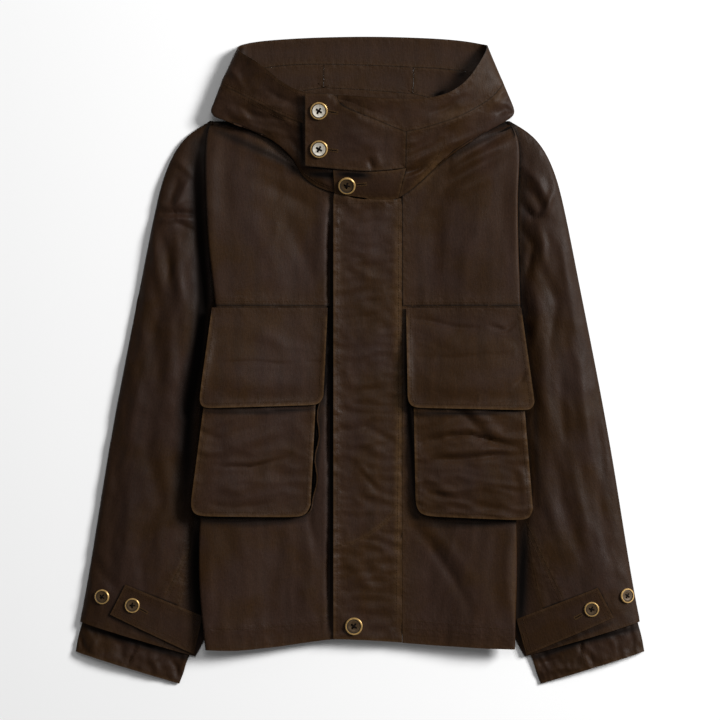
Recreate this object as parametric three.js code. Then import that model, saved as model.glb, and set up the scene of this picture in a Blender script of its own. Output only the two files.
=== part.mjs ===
import * as THREE from "three";

// A hooded waxed cotton jacket, buttoned up and laid flat on its back.
// Sizes are in millimetres. +X is the wearer's left, +Y runs up to the hood and
// +Z is up from the table. Side -1 is the wearer's right and side 1 the left.

// Cloth
const wall = 1.6; // thickness of the waxed cloth
const seamGap = 0.3; // space between two pieces at a seam
const lapGap = 0.8; // space under a piece that lies on another
const layer = wall + lapGap; // rise of one piece laid on another

// Body
const chestSeamY = 70; // seam across both fronts
const underarmY = 60;
const underarmBlend = 60; // stretch over which the armhole seam turns into the side seam
const shoulderY = 312;
const sideSeamX = 140; // side seam, folded under to the back
const armholeTopX = 193.5;
const armholeFootX = 165;
const middleHeight = 17; // top of the front cloth along the middle
const edgeHeight = 26; // top of the front cloth beside the folded edge
const rollRadius = 4; // fold at the side of the body
const backHemY = -358;

// Placket
const placketFreeX = -34.5;
const placketSeamX = 55;
const underlapX = 5; // how far the wearer's right front runs under the placket

// Buttons
const bodyButtonWide = 22.6;
const cuffButtonWide = 19.2;
const buttonThick = 3.6;

// Colours
const clothColour = 0x3a2b22;
const hoodColour = 0x3b2c23;
const sleeveColour = 0x372920;
const brassColour = 0xa88b52;
const hornColour = 0x8e8578;

const group = new THREE.Group();

// Fold of the body's side, and where each side's edge stands from the middle
const bodyEdge = [
  { y: -380, right: 201, left: 202 },
  { y: -345, right: 205, left: 202 },
  { y: -280, right: 211, left: 205 },
  { y: -209, right: 209, left: 203.5 },
  { y: -60, right: 197, left: 206 },
  { y: 75, right: 188, left: 209 },
  { y: 150, right: 198, left: 206 },
  { y: 220, right: 201, left: 205 },
  { y: 283, right: 202, left: 210 },
  { y: 312, right: 195, left: 195 },
];

// Front hem, from the wearer's right to the left
const hemLine = [
  { x: -201, y: -375 },
  { x: -168, y: -379 },
  { x: -103, y: -372.5 },
  { x: -36, y: -363 },
  { x: 14, y: -365 },
  { x: 92, y: -371 },
  { x: 183, y: -376 },
  { x: 201, y: -375 },
];

// Hood across its front, from the right tip to the left one: the neck seam, the
// lowest roll, the brim seam and the edge of the opening, each as x and y
const hoodFront = [
  { neck: [-109, 318], roll: [-200, 317], brim: [-183, 361], mouth: [-161, 405] },
  { neck: [-104, 300], roll: [-170, 305], brim: [-160, 348], mouth: [-146, 394] },
  { neck: [-96, 278], roll: [-139, 296], brim: [-138, 336], mouth: [-126, 381] },
  { neck: [-84, 255], roll: [-110, 286], brim: [-112, 322], mouth: [-103, 361] },
  { neck: [-73, 237], roll: [-80, 272], brim: [-85, 310], mouth: [-80, 348] },
  { neck: [-54, 224], roll: [-58, 260], brim: [-60, 302], mouth: [-55, 343] },
  { neck: [-33, 217], roll: [-35, 250], brim: [-32, 298], mouth: [-28, 342] },
  { neck: [0, 211], roll: [0, 245], brim: [5, 294], mouth: [5, 339.5] },
  { neck: [30, 209], roll: [32, 245], brim: [35, 294], mouth: [40, 337.5] },
  { neck: [50, 210], roll: [60, 249], brim: [61, 296], mouth: [66, 337.5] },
  { neck: [81, 233], roll: [101, 265], brim: [98, 305], mouth: [92, 339] },
  { neck: [101, 255], roll: [144, 285], brim: [130, 316], mouth: [118, 347] },
  { neck: [113, 285], roll: [175, 301], brim: [160, 333], mouth: [140, 364] },
  { neck: [118, 300], roll: [190, 309], brim: [176, 349], mouth: [155, 386] },
  { neck: [120, 318], roll: [200, 317], brim: [185, 363], mouth: [166, 408] },
];

// Hood across its back, from the left tip to the right one
const hoodBack = [
  { neck: [112, 333], roll: [170, 345], brim: [165, 372], mouth: [160, 413] },
  { neck: [95, 343], roll: [120, 358], brim: [120, 380], mouth: [125, 418.5] },
  { neck: [70, 349], roll: [70, 366], brim: [70, 383], mouth: [75, 421.5] },
  { neck: [10, 354], roll: [10, 371], brim: [10, 385.5], mouth: [14, 423] },
  { neck: [-47.5, 357], roll: [-47.5, 372], brim: [-47.5, 387], mouth: [-50, 422] },
  { neck: [-80, 352], roll: [-100, 364], brim: [-100, 385.5], mouth: [-100, 419.5] },
  { neck: [-100, 338], roll: [-165, 345], brim: [-160, 375], mouth: [-150, 414] },
];

// Heights of the hood's cloth: at the middle of the front, and at its two tips.
// Its neck seam lies on the front cloth.
const hoodRise = {
  neck: { tip: 8 },
  roll: { front: 29.5, tip: 21 },
  brim: { front: 39.5, tip: 19 },
  mouth: { front: 46, tip: 20 },
};

// Brim seam on the lap, where it climbs to the tab's top: x and y by station
const lapBrim = { 6: [-29, 331], 7: [0, 319.5], 8: [30, 308], 9: [61, 296] };

// Sleeve rings: the end under the body, the outer end, and the loft, right sleeve
const sleeveRings = [
  { innerX: 165, innerY: 60, outerX: 197, outerY: 313.5, loft: 10 },
  { innerX: 165, innerY: 47, outerX: 225, outerY: 297, loft: 12.5 },
  { innerX: 164, innerY: 28, outerX: 246, outerY: 269, loft: 15.5 },
  { innerX: 163, innerY: 2, outerX: 260, outerY: 232, loft: 18 },
  { innerX: 162, innerY: -35, outerX: 273, outerY: 174, loft: 19 },
  { innerX: 162, innerY: -80, outerX: 287, outerY: 102, loft: 19.5 },
  { innerX: 164, innerY: -135, outerX: 303, outerY: 22, loft: 20 },
  { innerX: 167, innerY: -190, outerX: 320, outerY: -66, loft: 20 },
  { innerX: 172, innerY: -245, outerX: 335, outerY: -152, loft: 19.5 },
  { innerX: 180, innerY: -300, outerX: 348, outerY: -235, loft: 19 },
  { innerX: 198, innerY: -357, outerX: 360, outerY: -306, loft: 18 },
  { innerX: 215, innerY: -387.5, outerX: 367, outerY: -341, loft: 17 },
];

// Section of a sleeve: share of the way from the inner end, share of the loft
const sleeveSection = [
  { across: 0.0, up: 0.27 },
  { across: 0.06, up: 0.42 },
  { across: 0.15, up: 0.57 },
  { across: 0.28, up: 0.7 },
  { across: 0.42, up: 0.86 },
  { across: 0.58, up: 1.0 },
  { across: 0.74, up: 0.98 },
  { across: 0.87, up: 0.87 },
  { across: 0.96, up: 0.64 },
  { across: 1.0, up: 0.34 },
  { across: 0.985, up: 0.1 },
  { across: 0.95, up: 0.0 },
  { across: 0.64, up: 0.0 },
  { across: 0.32, up: 0.0 },
  { across: 0.03, up: 0.0 },
  { across: 0.0, up: 0.09 },
];

// The two seams of a sleeve, by row of its section: on the front and behind the outer edge
const frontSeam = 3;
const outerSeam = 11;
const crownStops = 8; // the first rows, on the front

// Cuff bands, from inside the sleeve's end to their own open end
const cuffRings = [
  { innerX: 220, innerY: -380, outerX: 358, outerY: -328, lift: 2.2, loft: 8.5 },
  { innerX: 227.4, innerY: -395, outerX: 361.2, outerY: -343.5, lift: 2.2, loft: 8.5 },
  { innerX: 230, innerY: -408, outerX: 367, outerY: -360, lift: 0.8, loft: 11 },
  { innerX: 236, innerY: -423, outerX: 372.5, outerY: -380, lift: 0, loft: 12.5 },
];

// Cuff tabs: corners of the strap that lies on the sleeve
const cuffTabs = [
  { side: -1, endTop: [305, -292], endLow: [325, -331], foldTop: [205, -334], foldLow: [217, -384] },
  { side: 1, endTop: [309, -296], endLow: [330, -335], foldTop: [204, -338], foldLow: [217, -385] },
];

// Bellows pockets and flaps: their edges from the middle, and their lower edge
const pockets = [
  { side: -1, outerTop: 190, outerLow: 221, innerTop: 53, innerLow: 65, lowOuter: -202, lowInner: -204 },
  { side: 1, outerTop: 205, outerLow: 225, innerTop: 68, innerLow: 72.5, lowOuter: -208, lowInner: -202 },
];
const pocketMouthY = 34;
const pocketLoft = 9.5;
const pocketCorner = 16;
const flaps = [
  { side: -1, outerTop: 192, outerLow: 209, innerTop: 42, innerLow: 48, lowOuter: -62.5, lowInner: -58 },
  { side: 1, outerTop: 209, outerLow: 227, innerTop: 60, innerLow: 62, lowOuter: -65, lowInner: -61.5 },
];
const flapTopY = 68;
const flapCorner = 11;

// Folds: middle of the line, its direction in degrees, its length, how far it
// spreads to each side, and its height, below zero for a trough
const bodyFolds = [
  { x: -186, y: 215, turn: 88, long: 170, wide: 10, high: 1.6 },
  { x: -160, y: 235, turn: 100, long: 110, wide: 14, high: -1.6 },
  { x: -120, y: 150, turn: 70, long: 150, wide: 18, high: 1.4 },
  { x: -72, y: 135, turn: 62, long: 120, wide: 14, high: -1.3 },
  { x: -95, y: 215, turn: 150, long: 100, wide: 12, high: -1.6 },
  { x: 188, y: 205, turn: 86, long: 180, wide: 10, high: 1.8 },
  { x: 168, y: 225, turn: 76, long: 150, wide: 13, high: -1.8 },
  { x: 128, y: 175, turn: 65, long: 150, wide: 16, high: 1.3 },
  { x: 95, y: 150, turn: 95, long: 130, wide: 14, high: -1.2 },
  { x: 118, y: 238, turn: 40, long: 90, wide: 11, high: -1.6 },
  { x: -185, y: -280, turn: 92, long: 150, wide: 12, high: 1.4 },
  { x: -120, y: -290, turn: 80, long: 130, wide: 18, high: -1.6 },
  { x: -70, y: -300, turn: 100, long: 120, wide: 15, high: 1.3 },
  { x: 90, y: -285, turn: 98, long: 140, wide: 14, high: -1.3 },
  { x: 150, y: -290, turn: 84, long: 130, wide: 18, high: 1.4 },
  { x: 190, y: -290, turn: 90, long: 140, wide: 10, high: -1.2 },
];
const sleeveFolds = [
  { x: -243, y: 196, turn: 35, long: 75, wide: 10, high: -2.4 },
  { x: -236, y: 165, turn: 62, long: 95, wide: 10, high: -2.2 },
  { x: -250, y: 222, turn: 12, long: 60, wide: 9, high: -1.8 },
  { x: -262, y: 60, turn: 79, long: 240, wide: 15, high: -2.4 },
  { x: -232, y: 10, turn: 84, long: 240, wide: 15, high: 1.8 },
  { x: -288, y: -60, turn: 78, long: 210, wide: 13, high: 1.8 },
  { x: -262, y: -170, turn: 75, long: 200, wide: 16, high: -2.4 },
  { x: -312, y: -190, turn: 80, long: 170, wide: 13, high: -1.8 },
  { x: -236, y: -235, turn: 70, long: 110, wide: 13, high: 1.6 },
  { x: -328, y: -290, turn: 76, long: 80, wide: 11, high: 1.4 },
  { x: 240, y: 190, turn: 140, long: 80, wide: 10, high: -2.4 },
  { x: 232, y: 150, turn: 115, long: 100, wide: 10, high: -2.2 },
  { x: 252, y: 225, turn: 165, long: 60, wide: 9, high: -1.8 },
  { x: 258, y: 55, turn: 101, long: 230, wide: 15, high: -2.3 },
  { x: 236, y: -20, turn: 96, long: 220, wide: 14, high: 1.8 },
  { x: 292, y: -50, turn: 103, long: 230, wide: 13, high: 1.9 },
  { x: 266, y: -160, turn: 104, long: 200, wide: 16, high: -2.3 },
  { x: 316, y: -180, turn: 99, long: 180, wide: 13, high: -1.8 },
  { x: 244, y: -240, turn: 112, long: 110, wide: 13, high: 1.6 },
  { x: 322, y: -285, turn: 104, long: 80, wide: 11, high: 1.4 },
];
const pocketFolds = [
  { x: -137, y: -134, turn: 4, long: 110, wide: 9, high: -2.0 },
  { x: -121, y: -107, turn: 3, long: 110, wide: 12, high: 1.8 },
  { x: -160, y: -170, turn: 12, long: 80, wide: 13, high: 1.4 },
  { x: 148, y: -128, turn: 177, long: 150, wide: 9, high: -2.8 },
  { x: 165, y: -88, turn: 146, long: 80, wide: 10, high: -2.2 },
  { x: 130, y: -108, turn: 160, long: 90, wide: 11, high: 1.8 },
  { x: 120, y: -158, turn: 170, long: 90, wide: 12, high: 1.6 },
];
const flapFolds = [
  { x: -118, y: -3, turn: 178, long: 140, wide: 13, high: 1.3 },
  { x: -90, y: 28, turn: 20, long: 90, wide: 14, high: 1.0 },
  { x: 140, y: 0, turn: 2, long: 150, wide: 13, high: 1.3 },
  { x: 105, y: 26, turn: 160, long: 80, wide: 14, high: 1.0 },
];
const placketFolds = [
  { x: -12, y: 150, turn: 62, long: 110, wide: 11, high: 1.3 },
  { x: 22, y: 165, turn: 80, long: 90, wide: 10, high: 0.9 },
  { x: 10, y: -35, turn: 20, long: 70, wide: 12, high: 1.0 },
  { x: 12, y: -110, turn: 100, long: 130, wide: 12, high: 1.2 },
  { x: 18, y: -200, turn: 25, long: 70, wide: 12, high: 1.1 },
  { x: -5, y: -290, turn: 75, long: 90, wide: 12, high: 1.0 },
];
const hoodFolds = [
  { x: 120, y: 278, turn: 27, long: 120, wide: 8, high: -2.6 },
  { x: 95, y: 288, turn: 22, long: 90, wide: 9, high: 1.6 },
  { x: 150, y: 345, turn: 45, long: 70, wide: 9, high: 1.4 },
  { x: -150, y: 375, turn: 120, long: 60, wide: 9, high: -1.5 },
  { x: -135, y: 318, turn: 165, long: 80, wide: 9, high: 1.5 },
  { x: -92, y: 300, turn: 150, long: 60, wide: 8, high: -1.3 },
];

// Small sums
const lerp = (a, b, t) => a + (b - a) * t;
const clamp01 = (t) => Math.min(1, Math.max(0, t));
const smooth = (t) => {
  const s = clamp01(t);
  return s * s * (3 - 2 * s);
};

// Value of one column of a table, at a place along another column that rises
function readTable(rows, along, at, column) {
  let i = 0;
  while (i < rows.length - 2 && rows[i + 1][along] < at) {
    i += 1;
  }
  const a = rows[i];
  const b = rows[i + 1];
  return lerp(a[column], b[column], clamp01((at - a[along]) / (b[along] - a[along])));
}

// Height that a table of folds adds at a place
function foldHeight(rows, x, y) {
  let height = 0;
  for (const fold of rows) {
    const turn = THREE.MathUtils.degToRad(fold.turn);
    const dx = x - fold.x;
    const dy = y - fold.y;
    const run = (dx * Math.cos(turn) + dy * Math.sin(turn)) / (fold.long / 2);
    const off = (dy * Math.cos(turn) - dx * Math.sin(turn)) / fold.wide;
    if (Math.abs(run) < 1 && Math.abs(off) < 3) {
      height += fold.high * (1 - run * run) * Math.exp(-off * off);
    }
  }
  return height;
}

// Points that are x, y and z for each row and column, and the way they face.
// Columns run round a closed ring, or from edge to edge of an open sheet.
function facing(grid, closed) {
  const rows = grid.length;
  const columns = grid[0].length;
  return grid.map((row, i) =>
    row.map((point, j) => {
      const before = closed ? row[(j + columns - 1) % columns] : row[Math.max(0, j - 1)];
      const after = closed ? row[(j + 1) % columns] : row[Math.min(columns - 1, j + 1)];
      const below = grid[Math.max(0, i - 1)][j];
      const above = grid[Math.min(rows - 1, i + 1)][j];
      const across = new THREE.Vector3().subVectors(after, before);
      const along = new THREE.Vector3().subVectors(above, below);
      return across.cross(along).normalize();
    })
  );
}

// The columns of a ring, started at another one and cut open
function unroll(surface, first, count) {
  const turned = (rows) =>
    rows.map((row) => Array.from({ length: count + 1 }, (_, k) => row[(first + k) % row.length]));
  return { grid: turned(surface.grid), normals: turned(surface.normals), closed: false };
}

// A stretch of a grid, with its cut edges drawn back for the seams
function stretch(surface, part) {
  const { fromRow = 0, toRow = surface.grid.length - 1 } = part;
  const { fromColumn = 0, toColumn = surface.grid[0].length - 1 } = part;
  const back = part.back ?? seamGap / 2;
  const grid = [];
  const normals = [];
  for (let i = fromRow; i <= toRow; i += 1) {
    const row = [];
    const rowNormals = [];
    for (let j = fromColumn; j <= toColumn; j += 1) {
      const point = surface.grid[i][j].clone();
      const nearRow = i === fromRow ? i + 1 : i === toRow ? i - 1 : i;
      const nearColumn = j === fromColumn ? j + 1 : j === toColumn ? j - 1 : j;
      for (const near of [surface.grid[nearRow][j], surface.grid[i][nearColumn]]) {
        const step = new THREE.Vector3().subVectors(near, surface.grid[i][j]);
        if (step.length() > back) {
          point.addScaledVector(step.normalize(), back);
        }
      }
      row.push(point);
      rowNormals.push(surface.normals[i][j].clone());
    }
    grid.push(row);
    normals.push(rowNormals);
  }
  return { grid, normals, closed: false };
}

// A wall of cloth whose outer face is the surface, as one closed geometry
function clothWall(surface, thick = wall) {
  const { grid, normals, closed } = surface;
  const rows = grid.length;
  const columns = grid[0].length;
  const positions = [];
  for (const row of grid) {
    row.forEach((point) => positions.push(point.x, point.y, point.z));
  }
  grid.forEach((row, i) =>
    row.forEach((point, j) => {
      const inner = point.clone().addScaledVector(normals[i][j], -thick);
      positions.push(inner.x, inner.y, inner.z);
    })
  );
  const outer = (i, j) => i * columns + (j % columns);
  const inner = (i, j) => rows * columns + outer(i, j);
  const index = [];
  const quad = (a, b, c, d) => index.push(a, b, c, a, c, d);
  const lastColumn = closed ? columns : columns - 1;
  for (let i = 0; i < rows - 1; i += 1) {
    for (let j = 0; j < lastColumn; j += 1) {
      quad(outer(i, j), outer(i, j + 1), outer(i + 1, j + 1), outer(i + 1, j));
      quad(inner(i, j), inner(i + 1, j), inner(i + 1, j + 1), inner(i, j + 1));
    }
  }
  for (let j = 0; j < lastColumn; j += 1) {
    quad(outer(0, j), inner(0, j), inner(0, j + 1), outer(0, j + 1));
    quad(outer(rows - 1, j), outer(rows - 1, j + 1), inner(rows - 1, j + 1), inner(rows - 1, j));
  }
  if (!closed) {
    for (let i = 0; i < rows - 1; i += 1) {
      quad(outer(i, 0), outer(i + 1, 0), inner(i + 1, 0), inner(i, 0));
      const j = columns - 1;
      quad(outer(i, j), inner(i, j), inner(i + 1, j), outer(i + 1, j));
    }
  }
  const geometry = new THREE.BufferGeometry();
  geometry.setAttribute("position", new THREE.Float32BufferAttribute(positions, 3));
  geometry.setIndex(index);
  geometry.computeVertexNormals();
  return geometry;
}

function addMesh(name, geometry, color, roughness = 0.55, metalness = 0) {
  const material = new THREE.MeshStandardMaterial({ color, roughness, metalness });
  const mesh = new THREE.Mesh(geometry, material);
  mesh.name = name;
  group.add(mesh);
  return mesh;
}

function makeSurface(grid, closed = false) {
  return { grid, normals: facing(grid, closed), closed };
}

// Highest point of a surface straight below or above a place, or a fallback
function heightOver(surface, x, y, otherwise) {
  const { grid, closed } = surface;
  const columns = grid[0].length;
  let best = -Infinity;
  const test = (a, b, c) => {
    const area = (b.x - a.x) * (c.y - a.y) - (c.x - a.x) * (b.y - a.y);
    if (area < 1e-9) {
      return;
    }
    const u = ((b.x - x) * (c.y - y) - (c.x - x) * (b.y - y)) / area;
    const v = ((c.x - x) * (a.y - y) - (a.x - x) * (c.y - y)) / area;
    const w = 1 - u - v;
    if (u >= -1e-6 && v >= -1e-6 && w >= -1e-6) {
      best = Math.max(best, u * a.z + v * b.z + w * c.z);
    }
  };
  for (let i = 0; i < grid.length - 1; i += 1) {
    for (let j = 0; j < (closed ? columns : columns - 1); j += 1) {
      const a = grid[i][j];
      const b = grid[i][(j + 1) % columns];
      const c = grid[i + 1][(j + 1) % columns];
      const d = grid[i + 1][j];
      test(a, b, c);
      test(a, c, d);
    }
  }
  return best > -Infinity ? best : otherwise;
}

// Body
const sideName = (side) => (side < 0 ? "right" : "left");
const edgeAt = (side, y) => readTable(bodyEdge, "y", y, sideName(side));
const hemAt = (x) => readTable(hemLine, "x", x, "y");
const armholeAt = (y) => {
  const up = (y - underarmY) / (shoulderY - underarmY);
  return lerp(armholeFootX, armholeTopX, clamp01(up));
};
const neckLine = hoodFront.map((row) => ({ x: row.neck[0], y: row.neck[1] }));

// Top end of the front cloth: the neck seam, then the shoulder
function topAt(x) {
  const neck = readTable(neckLine, "x", x, "y");
  return Math.min(neck, shoulderY);
}

// Height of the front cloth's outer face
function frontHeight(x, y) {
  const far = Math.abs(x);
  const rise = (edgeHeight - middleHeight) * smooth((far - 60) / 125);
  const toShoulder = 1 - 0.5 * smooth((y - 250) / 62) * smooth((far - 120) / 60);
  const flat = (middleHeight + rise) * toShoulder + foldHeight(bodyFolds, x, y);
  const overShoulder = clamp01((y - (shoulderY - 12)) / 12) * smooth((far - 96) / 14);
  return lerp(3, flat, Math.sqrt(1 - overShoulder * overShoulder));
}

// Height of the sleeve's top along the armhole
function armholeHeight(y) {
  const up = clamp01((y - underarmY) / (sleeveRings[0].outerY - underarmY));
  const rising = sleeveSection.slice(0, 9);
  return sleeveRings[0].loft * readTable(rising, "across", up, "up");
}

const flatColumns = {
  right: [-underlapX, 16, 34, 54, 73, 87, 98, 105, 110, 135, 162],
  left: [placketSeamX, 68, 81, 92, 101, 109, 115, 120, 142, 165],
};
const rollTurns = [0, 40, 90, 140, 180];
const underShares = [0.35, 0.7, 1];
const armValley = { floor: 5.5, reach: 24 }; // sleeve cloth sunk beside the body's folded edge
const underBow = 1.7; // how far the cloth under the side fold bows up over the sleeve
const lowerRows = 11;
const upperRows = [0.16, 0.32, 0.48, 0.64, 0.78, 0.9, 0.96, 1];

// One half of the front, from its middle over the side fold to the seam beneath
function frontRow(side, rowY) {
  const points = [];
  for (const far of flatColumns[sideName(side)]) {
    const y = rowY(side * far);
    points.push(new THREE.Vector3(side * far, y, frontHeight(side * far, y)));
  }
  const y = rowY(side * 185);
  const edge = edgeAt(side, y);
  const below = smooth((underarmY - y) / underarmBlend);
  const seamX = lerp(armholeAt(y) - 0.6, sideSeamX, below);
  const seamHeight = lerp(armholeHeight(y) + 0.5, 0, below);
  const radius = Math.min(rollRadius, (edge - seamX) * 0.3);
  const top = frontHeight(side * (edge - rollRadius), y);
  const deep = Math.min(rollRadius, (top - seamHeight) / 2 - 0.6);
  for (const turn of rollTurns) {
    const angle = THREE.MathUtils.degToRad(turn);
    const x = edge - radius + radius * Math.sin(angle);
    points.push(new THREE.Vector3(side * x, y, top - deep + deep * Math.cos(angle)));
  }
  for (const share of underShares) {
    const x = lerp(edge - radius, seamX, share);
    points.push(new THREE.Vector3(side * x, y, lerp(top - 2 * deep, seamHeight, share ** underBow)));
  }
  return side < 0 ? points.reverse() : points;
}

function frontSurface(side) {
  const grid = [];
  for (let i = 0; i <= lowerRows; i += 1) {
    grid.push(frontRow(side, (x) => lerp(hemAt(x), chestSeamY, i / lowerRows)));
  }
  for (const share of upperRows) {
    grid.push(frontRow(side, (x) => lerp(chestSeamY, topAt(x), share)));
  }
  return makeSurface(grid);
}

const fronts = { right: frontSurface(-1), left: frontSurface(1) };
for (const [name, surface] of Object.entries(fronts)) {
  addMesh(`front_${name}_lower`, clothWall(stretch(surface, { toRow: lowerRows })), clothColour);
  addMesh(`front_${name}_upper`, clothWall(stretch(surface, { fromRow: lowerRows })), clothColour);
}

// Back, flat on the table
function backPanel() {
  const gap = 0.9;
  const right = [
    [sideSeamX - 1.6, backHemY],
    [sideSeamX - 1.6, 0],
    [lerp(armholeFootX, sideSeamX, 0.5) - 2, 30],
    [armholeFootX - gap, underarmY + 4],
    [armholeAt(190) - gap, 190],
    [armholeTopX - gap - 1, shoulderY - 2],
    [112, shoulderY - 2],
  ];
  const neck = hoodBack.map((row) => row.neck);
  const shape = new THREE.Shape();
  right.forEach(([x, y], i) => (i ? shape.lineTo(x, y) : shape.moveTo(x, y)));
  neck.forEach(([x, y]) => shape.lineTo(x, y - 1.2));
  right.reverse().forEach(([x, y]) => shape.lineTo(x === 112 ? -100 : -x, y));
  return new THREE.ExtrudeGeometry(shape, { depth: wall, bevelEnabled: false });
}
addMesh("back_panel", backPanel(), clothColour);

// Placket, laid over the wearer's right front and sewn to the left one
function placketLift(x) {
  return layer * smooth((placketSeamX - 8 - x) / 30);
}
function placketSurface() {
  const xs = [placketFreeX, -22, -8, 8, 24, 40, placketSeamX - seamGap];
  const grid = [];
  const rows = 20;
  for (let i = 0; i <= rows; i += 1) {
    const row = xs.map((x) => {
      const y = lerp(hemAt(x) + 0.5, topAt(x) - 2, i / rows);
      const z = frontHeight(x, y) + placketLift(x) + foldHeight(placketFolds, x, y);
      return new THREE.Vector3(x, y, z);
    });
    grid.push(row);
  }
  return makeSurface(grid);
}
const placket = placketSurface();
addMesh("placket", clothWall(placket), clothColour);

// Pockets and flaps
function cornerRise(distance, radius) {
  const inside = Math.max(0, radius - distance);
  return radius - Math.sqrt(radius * radius - inside * inside);
}

// Outline of a pocket or flap: x and y by its shares across and down
function patchPlace(patch, topY, corner, across, down) {
  const lowY = lerp(patch.lowOuter, patch.lowInner, across);
  const width = patch.outerLow - patch.innerLow;
  const rise = cornerRise(across * width, corner) + cornerRise((1 - across) * width, corner);
  const y = lerp(topY, lowY + rise, down);
  const fall = (topY - y) / (topY - lowY);
  const outer = lerp(patch.outerTop, patch.outerLow, fall);
  const inner = lerp(patch.innerTop, patch.innerLow, fall);
  const far = lerp(outer, inner, across);
  return { x: patch.side * far, y, far };
}

// Rise of a pocket's face over the front cloth
function pouchLoft(pocket, x, y) {
  const far = pocket.side * x;
  const fall = clamp01((pocketMouthY - y) / (pocketMouthY - pocket.lowInner));
  const outer = lerp(pocket.outerTop, pocket.outerLow, fall);
  const inner = lerp(pocket.innerTop, pocket.innerLow, fall);
  const inset = Math.min(outer - far, far - inner, y - pocket.lowInner);
  const open = lerp(2.8, pocketLoft, smooth((pocketMouthY - y) / 60));
  const edgeFall = 1.6 * (1 - Math.sqrt(clamp01(Math.max(0, inset) / 10)));
  return Math.max(2.6, open - edgeFall);
}

// Front cloth under a pocket, carried on level past the body's edge
const seatHeight = (x, y) => frontHeight(x, y) - foldHeight(bodyFolds, x, y) + 0.6;

const patchColumns = [0, 0.02, 0.06, 0.14, 0.28, 0.43, 0.58, 0.72, 0.86, 0.94, 0.98, 1];

function pocketSurface(pocket) {
  const downs = [0, 0.14, 0.28, 0.42, 0.54, 0.64, 0.72, 0.8, 0.88, 0.95, 1];
  const order = pocket.side < 0 ? patchColumns : [...patchColumns].reverse();
  const grid = downs.map((down) =>
    order.map((across) => {
      const { x, y } = patchPlace(pocket, pocketMouthY, pocketCorner, across, down);
      const z = seatHeight(x, y) + pouchLoft(pocket, x, y) + foldHeight(pocketFolds, x, y);
      return new THREE.Vector3(x, y, z);
    })
  );
  return makeSurface(grid.reverse());
}

function gussetSurface(pocket) {
  const path = [];
  for (const down of [0.2, 0.4, 0.6, 0.8, 0.93]) {
    path.push({ across: 0, down });
  }
  for (const across of [0, 0.02, 0.06, 0.14, 0.3, 0.5, 0.7, 0.86, 0.94, 0.98, 1]) {
    path.push({ across, down: 1 });
  }
  for (const down of [0.93, 0.8, 0.6, 0.4, 0.2]) {
    path.push({ across: 1, down });
  }
  const rings = [
    { outset: 17, up: 0 },
    { outset: 7.5, up: 0.45 },
    { outset: 3.4, up: 1 },
  ];
  const midFar = (pocket.outerLow + pocket.innerLow) / 2;
  const grid = rings.map(({ outset, up }) =>
    path.map(({ across, down }) => {
      const edge = patchPlace(pocket, pocketMouthY, pocketCorner, across, down);
      const inward = across < 0.5 ? outset : outset * 0.45;
      const pullX = edge.far > midFar ? -inward : inward;
      const shareX = clamp01(Math.abs(edge.far - midFar) / (midFar - pocket.innerLow - pocketCorner));
      const shareY = clamp01((pocket.lowInner + pocketCorner - edge.y) / pocketCorner);
      const far = edge.far + pullX * (shareX < 0.999 ? shareX ** 6 : 1);
      const y = edge.y + outset * 0.45 * shareY;
      const x = pocket.side * far;
      const low = frontHeight(x, y) + 0.5;
      const faceZ = seatHeight(edge.x, edge.y) + pouchLoft(pocket, edge.x, edge.y);
      const high = faceZ + foldHeight(pocketFolds, edge.x, edge.y) - wall - 1.6;
      return new THREE.Vector3(x, y, lerp(low, high, up));
    })
  );
  return makeSurface(pocket.side < 0 ? grid : grid.map((row) => row.reverse()));
}

function flapSurface(flap, pocket) {
  const downs = [0, 0.12, 0.26, 0.4, 0.55, 0.7, 0.82, 0.92, 1];
  const order = flap.side < 0 ? patchColumns : [...patchColumns].reverse();
  const grid = downs.map((down) =>
    order.map((across) => {
      const { x, y, far } = patchPlace(flap, flapTopY, flapCorner, across, down);
      const fall = clamp01((pocketMouthY - y) / (pocketMouthY - pocket.lowInner));
      const outer = lerp(pocket.outerTop, pocket.outerLow, fall) - 6;
      const inner = lerp(pocket.innerTop, pocket.innerLow, fall) + 6;
      const under = pocket.side * Math.min(outer, Math.max(inner, far));
      const loft = pouchLoft(pocket, under, Math.min(y, pocketMouthY));
      const sewn = smooth((flapTopY - y) / (flapTopY - pocketMouthY));
      const rise = lerp(layer, loft + layer, sewn) + foldHeight(flapFolds, x, y);
      return new THREE.Vector3(x, y, seatHeight(under, y) + rise);
    })
  );
  return makeSurface(grid.reverse());
}

pockets.forEach((pocket, i) => {
  const name = sideName(pocket.side);
  addMesh(`pocket_${name}`, clothWall(pocketSurface(pocket)), clothColour);
  addMesh(`gusset_${name}`, clothWall(gussetSurface(pocket)), clothColour);
  addMesh(`flap_${name}`, clothWall(flapSurface(flaps[i], pocket)), clothColour);
});

// Sleeves and cuffs: rings round a line from the inner to the outer end
// How far the sleeve's front sinks into the valley beside the body: 1 beside and under its edge
function valleyShare(side, x, y) {
  const out = Math.abs(x) - edgeAt(side, y);
  return (1 - smooth(out / armValley.reach)) * smooth((300 - y) / 50) * smooth((y + 345) / 70);
}

function ringPoints(side, ring, rise, sunk = () => 0) {
  const across = new THREE.Vector2(ring.outerX - ring.innerX, ring.outerY - ring.innerY);
  const points = sleeveSection.map((stop, i) => {
    const x = side * (ring.innerX + across.x * stop.across);
    const y = ring.innerY + across.y * stop.across;
    const fold = stop.up > 0.5 ? rise(x, y) * smooth((stop.up - 0.5) / 0.4) : 0;
    let height = (ring.lift ?? 0) + ring.loft * stop.up + fold;
    if (i < crownStops && height > armValley.floor) {
      height = lerp(height, armValley.floor, sunk(x, y));
    }
    return new THREE.Vector3(x, y, height);
  });
  return side < 0 ? points.reverse() : points;
}

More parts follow.
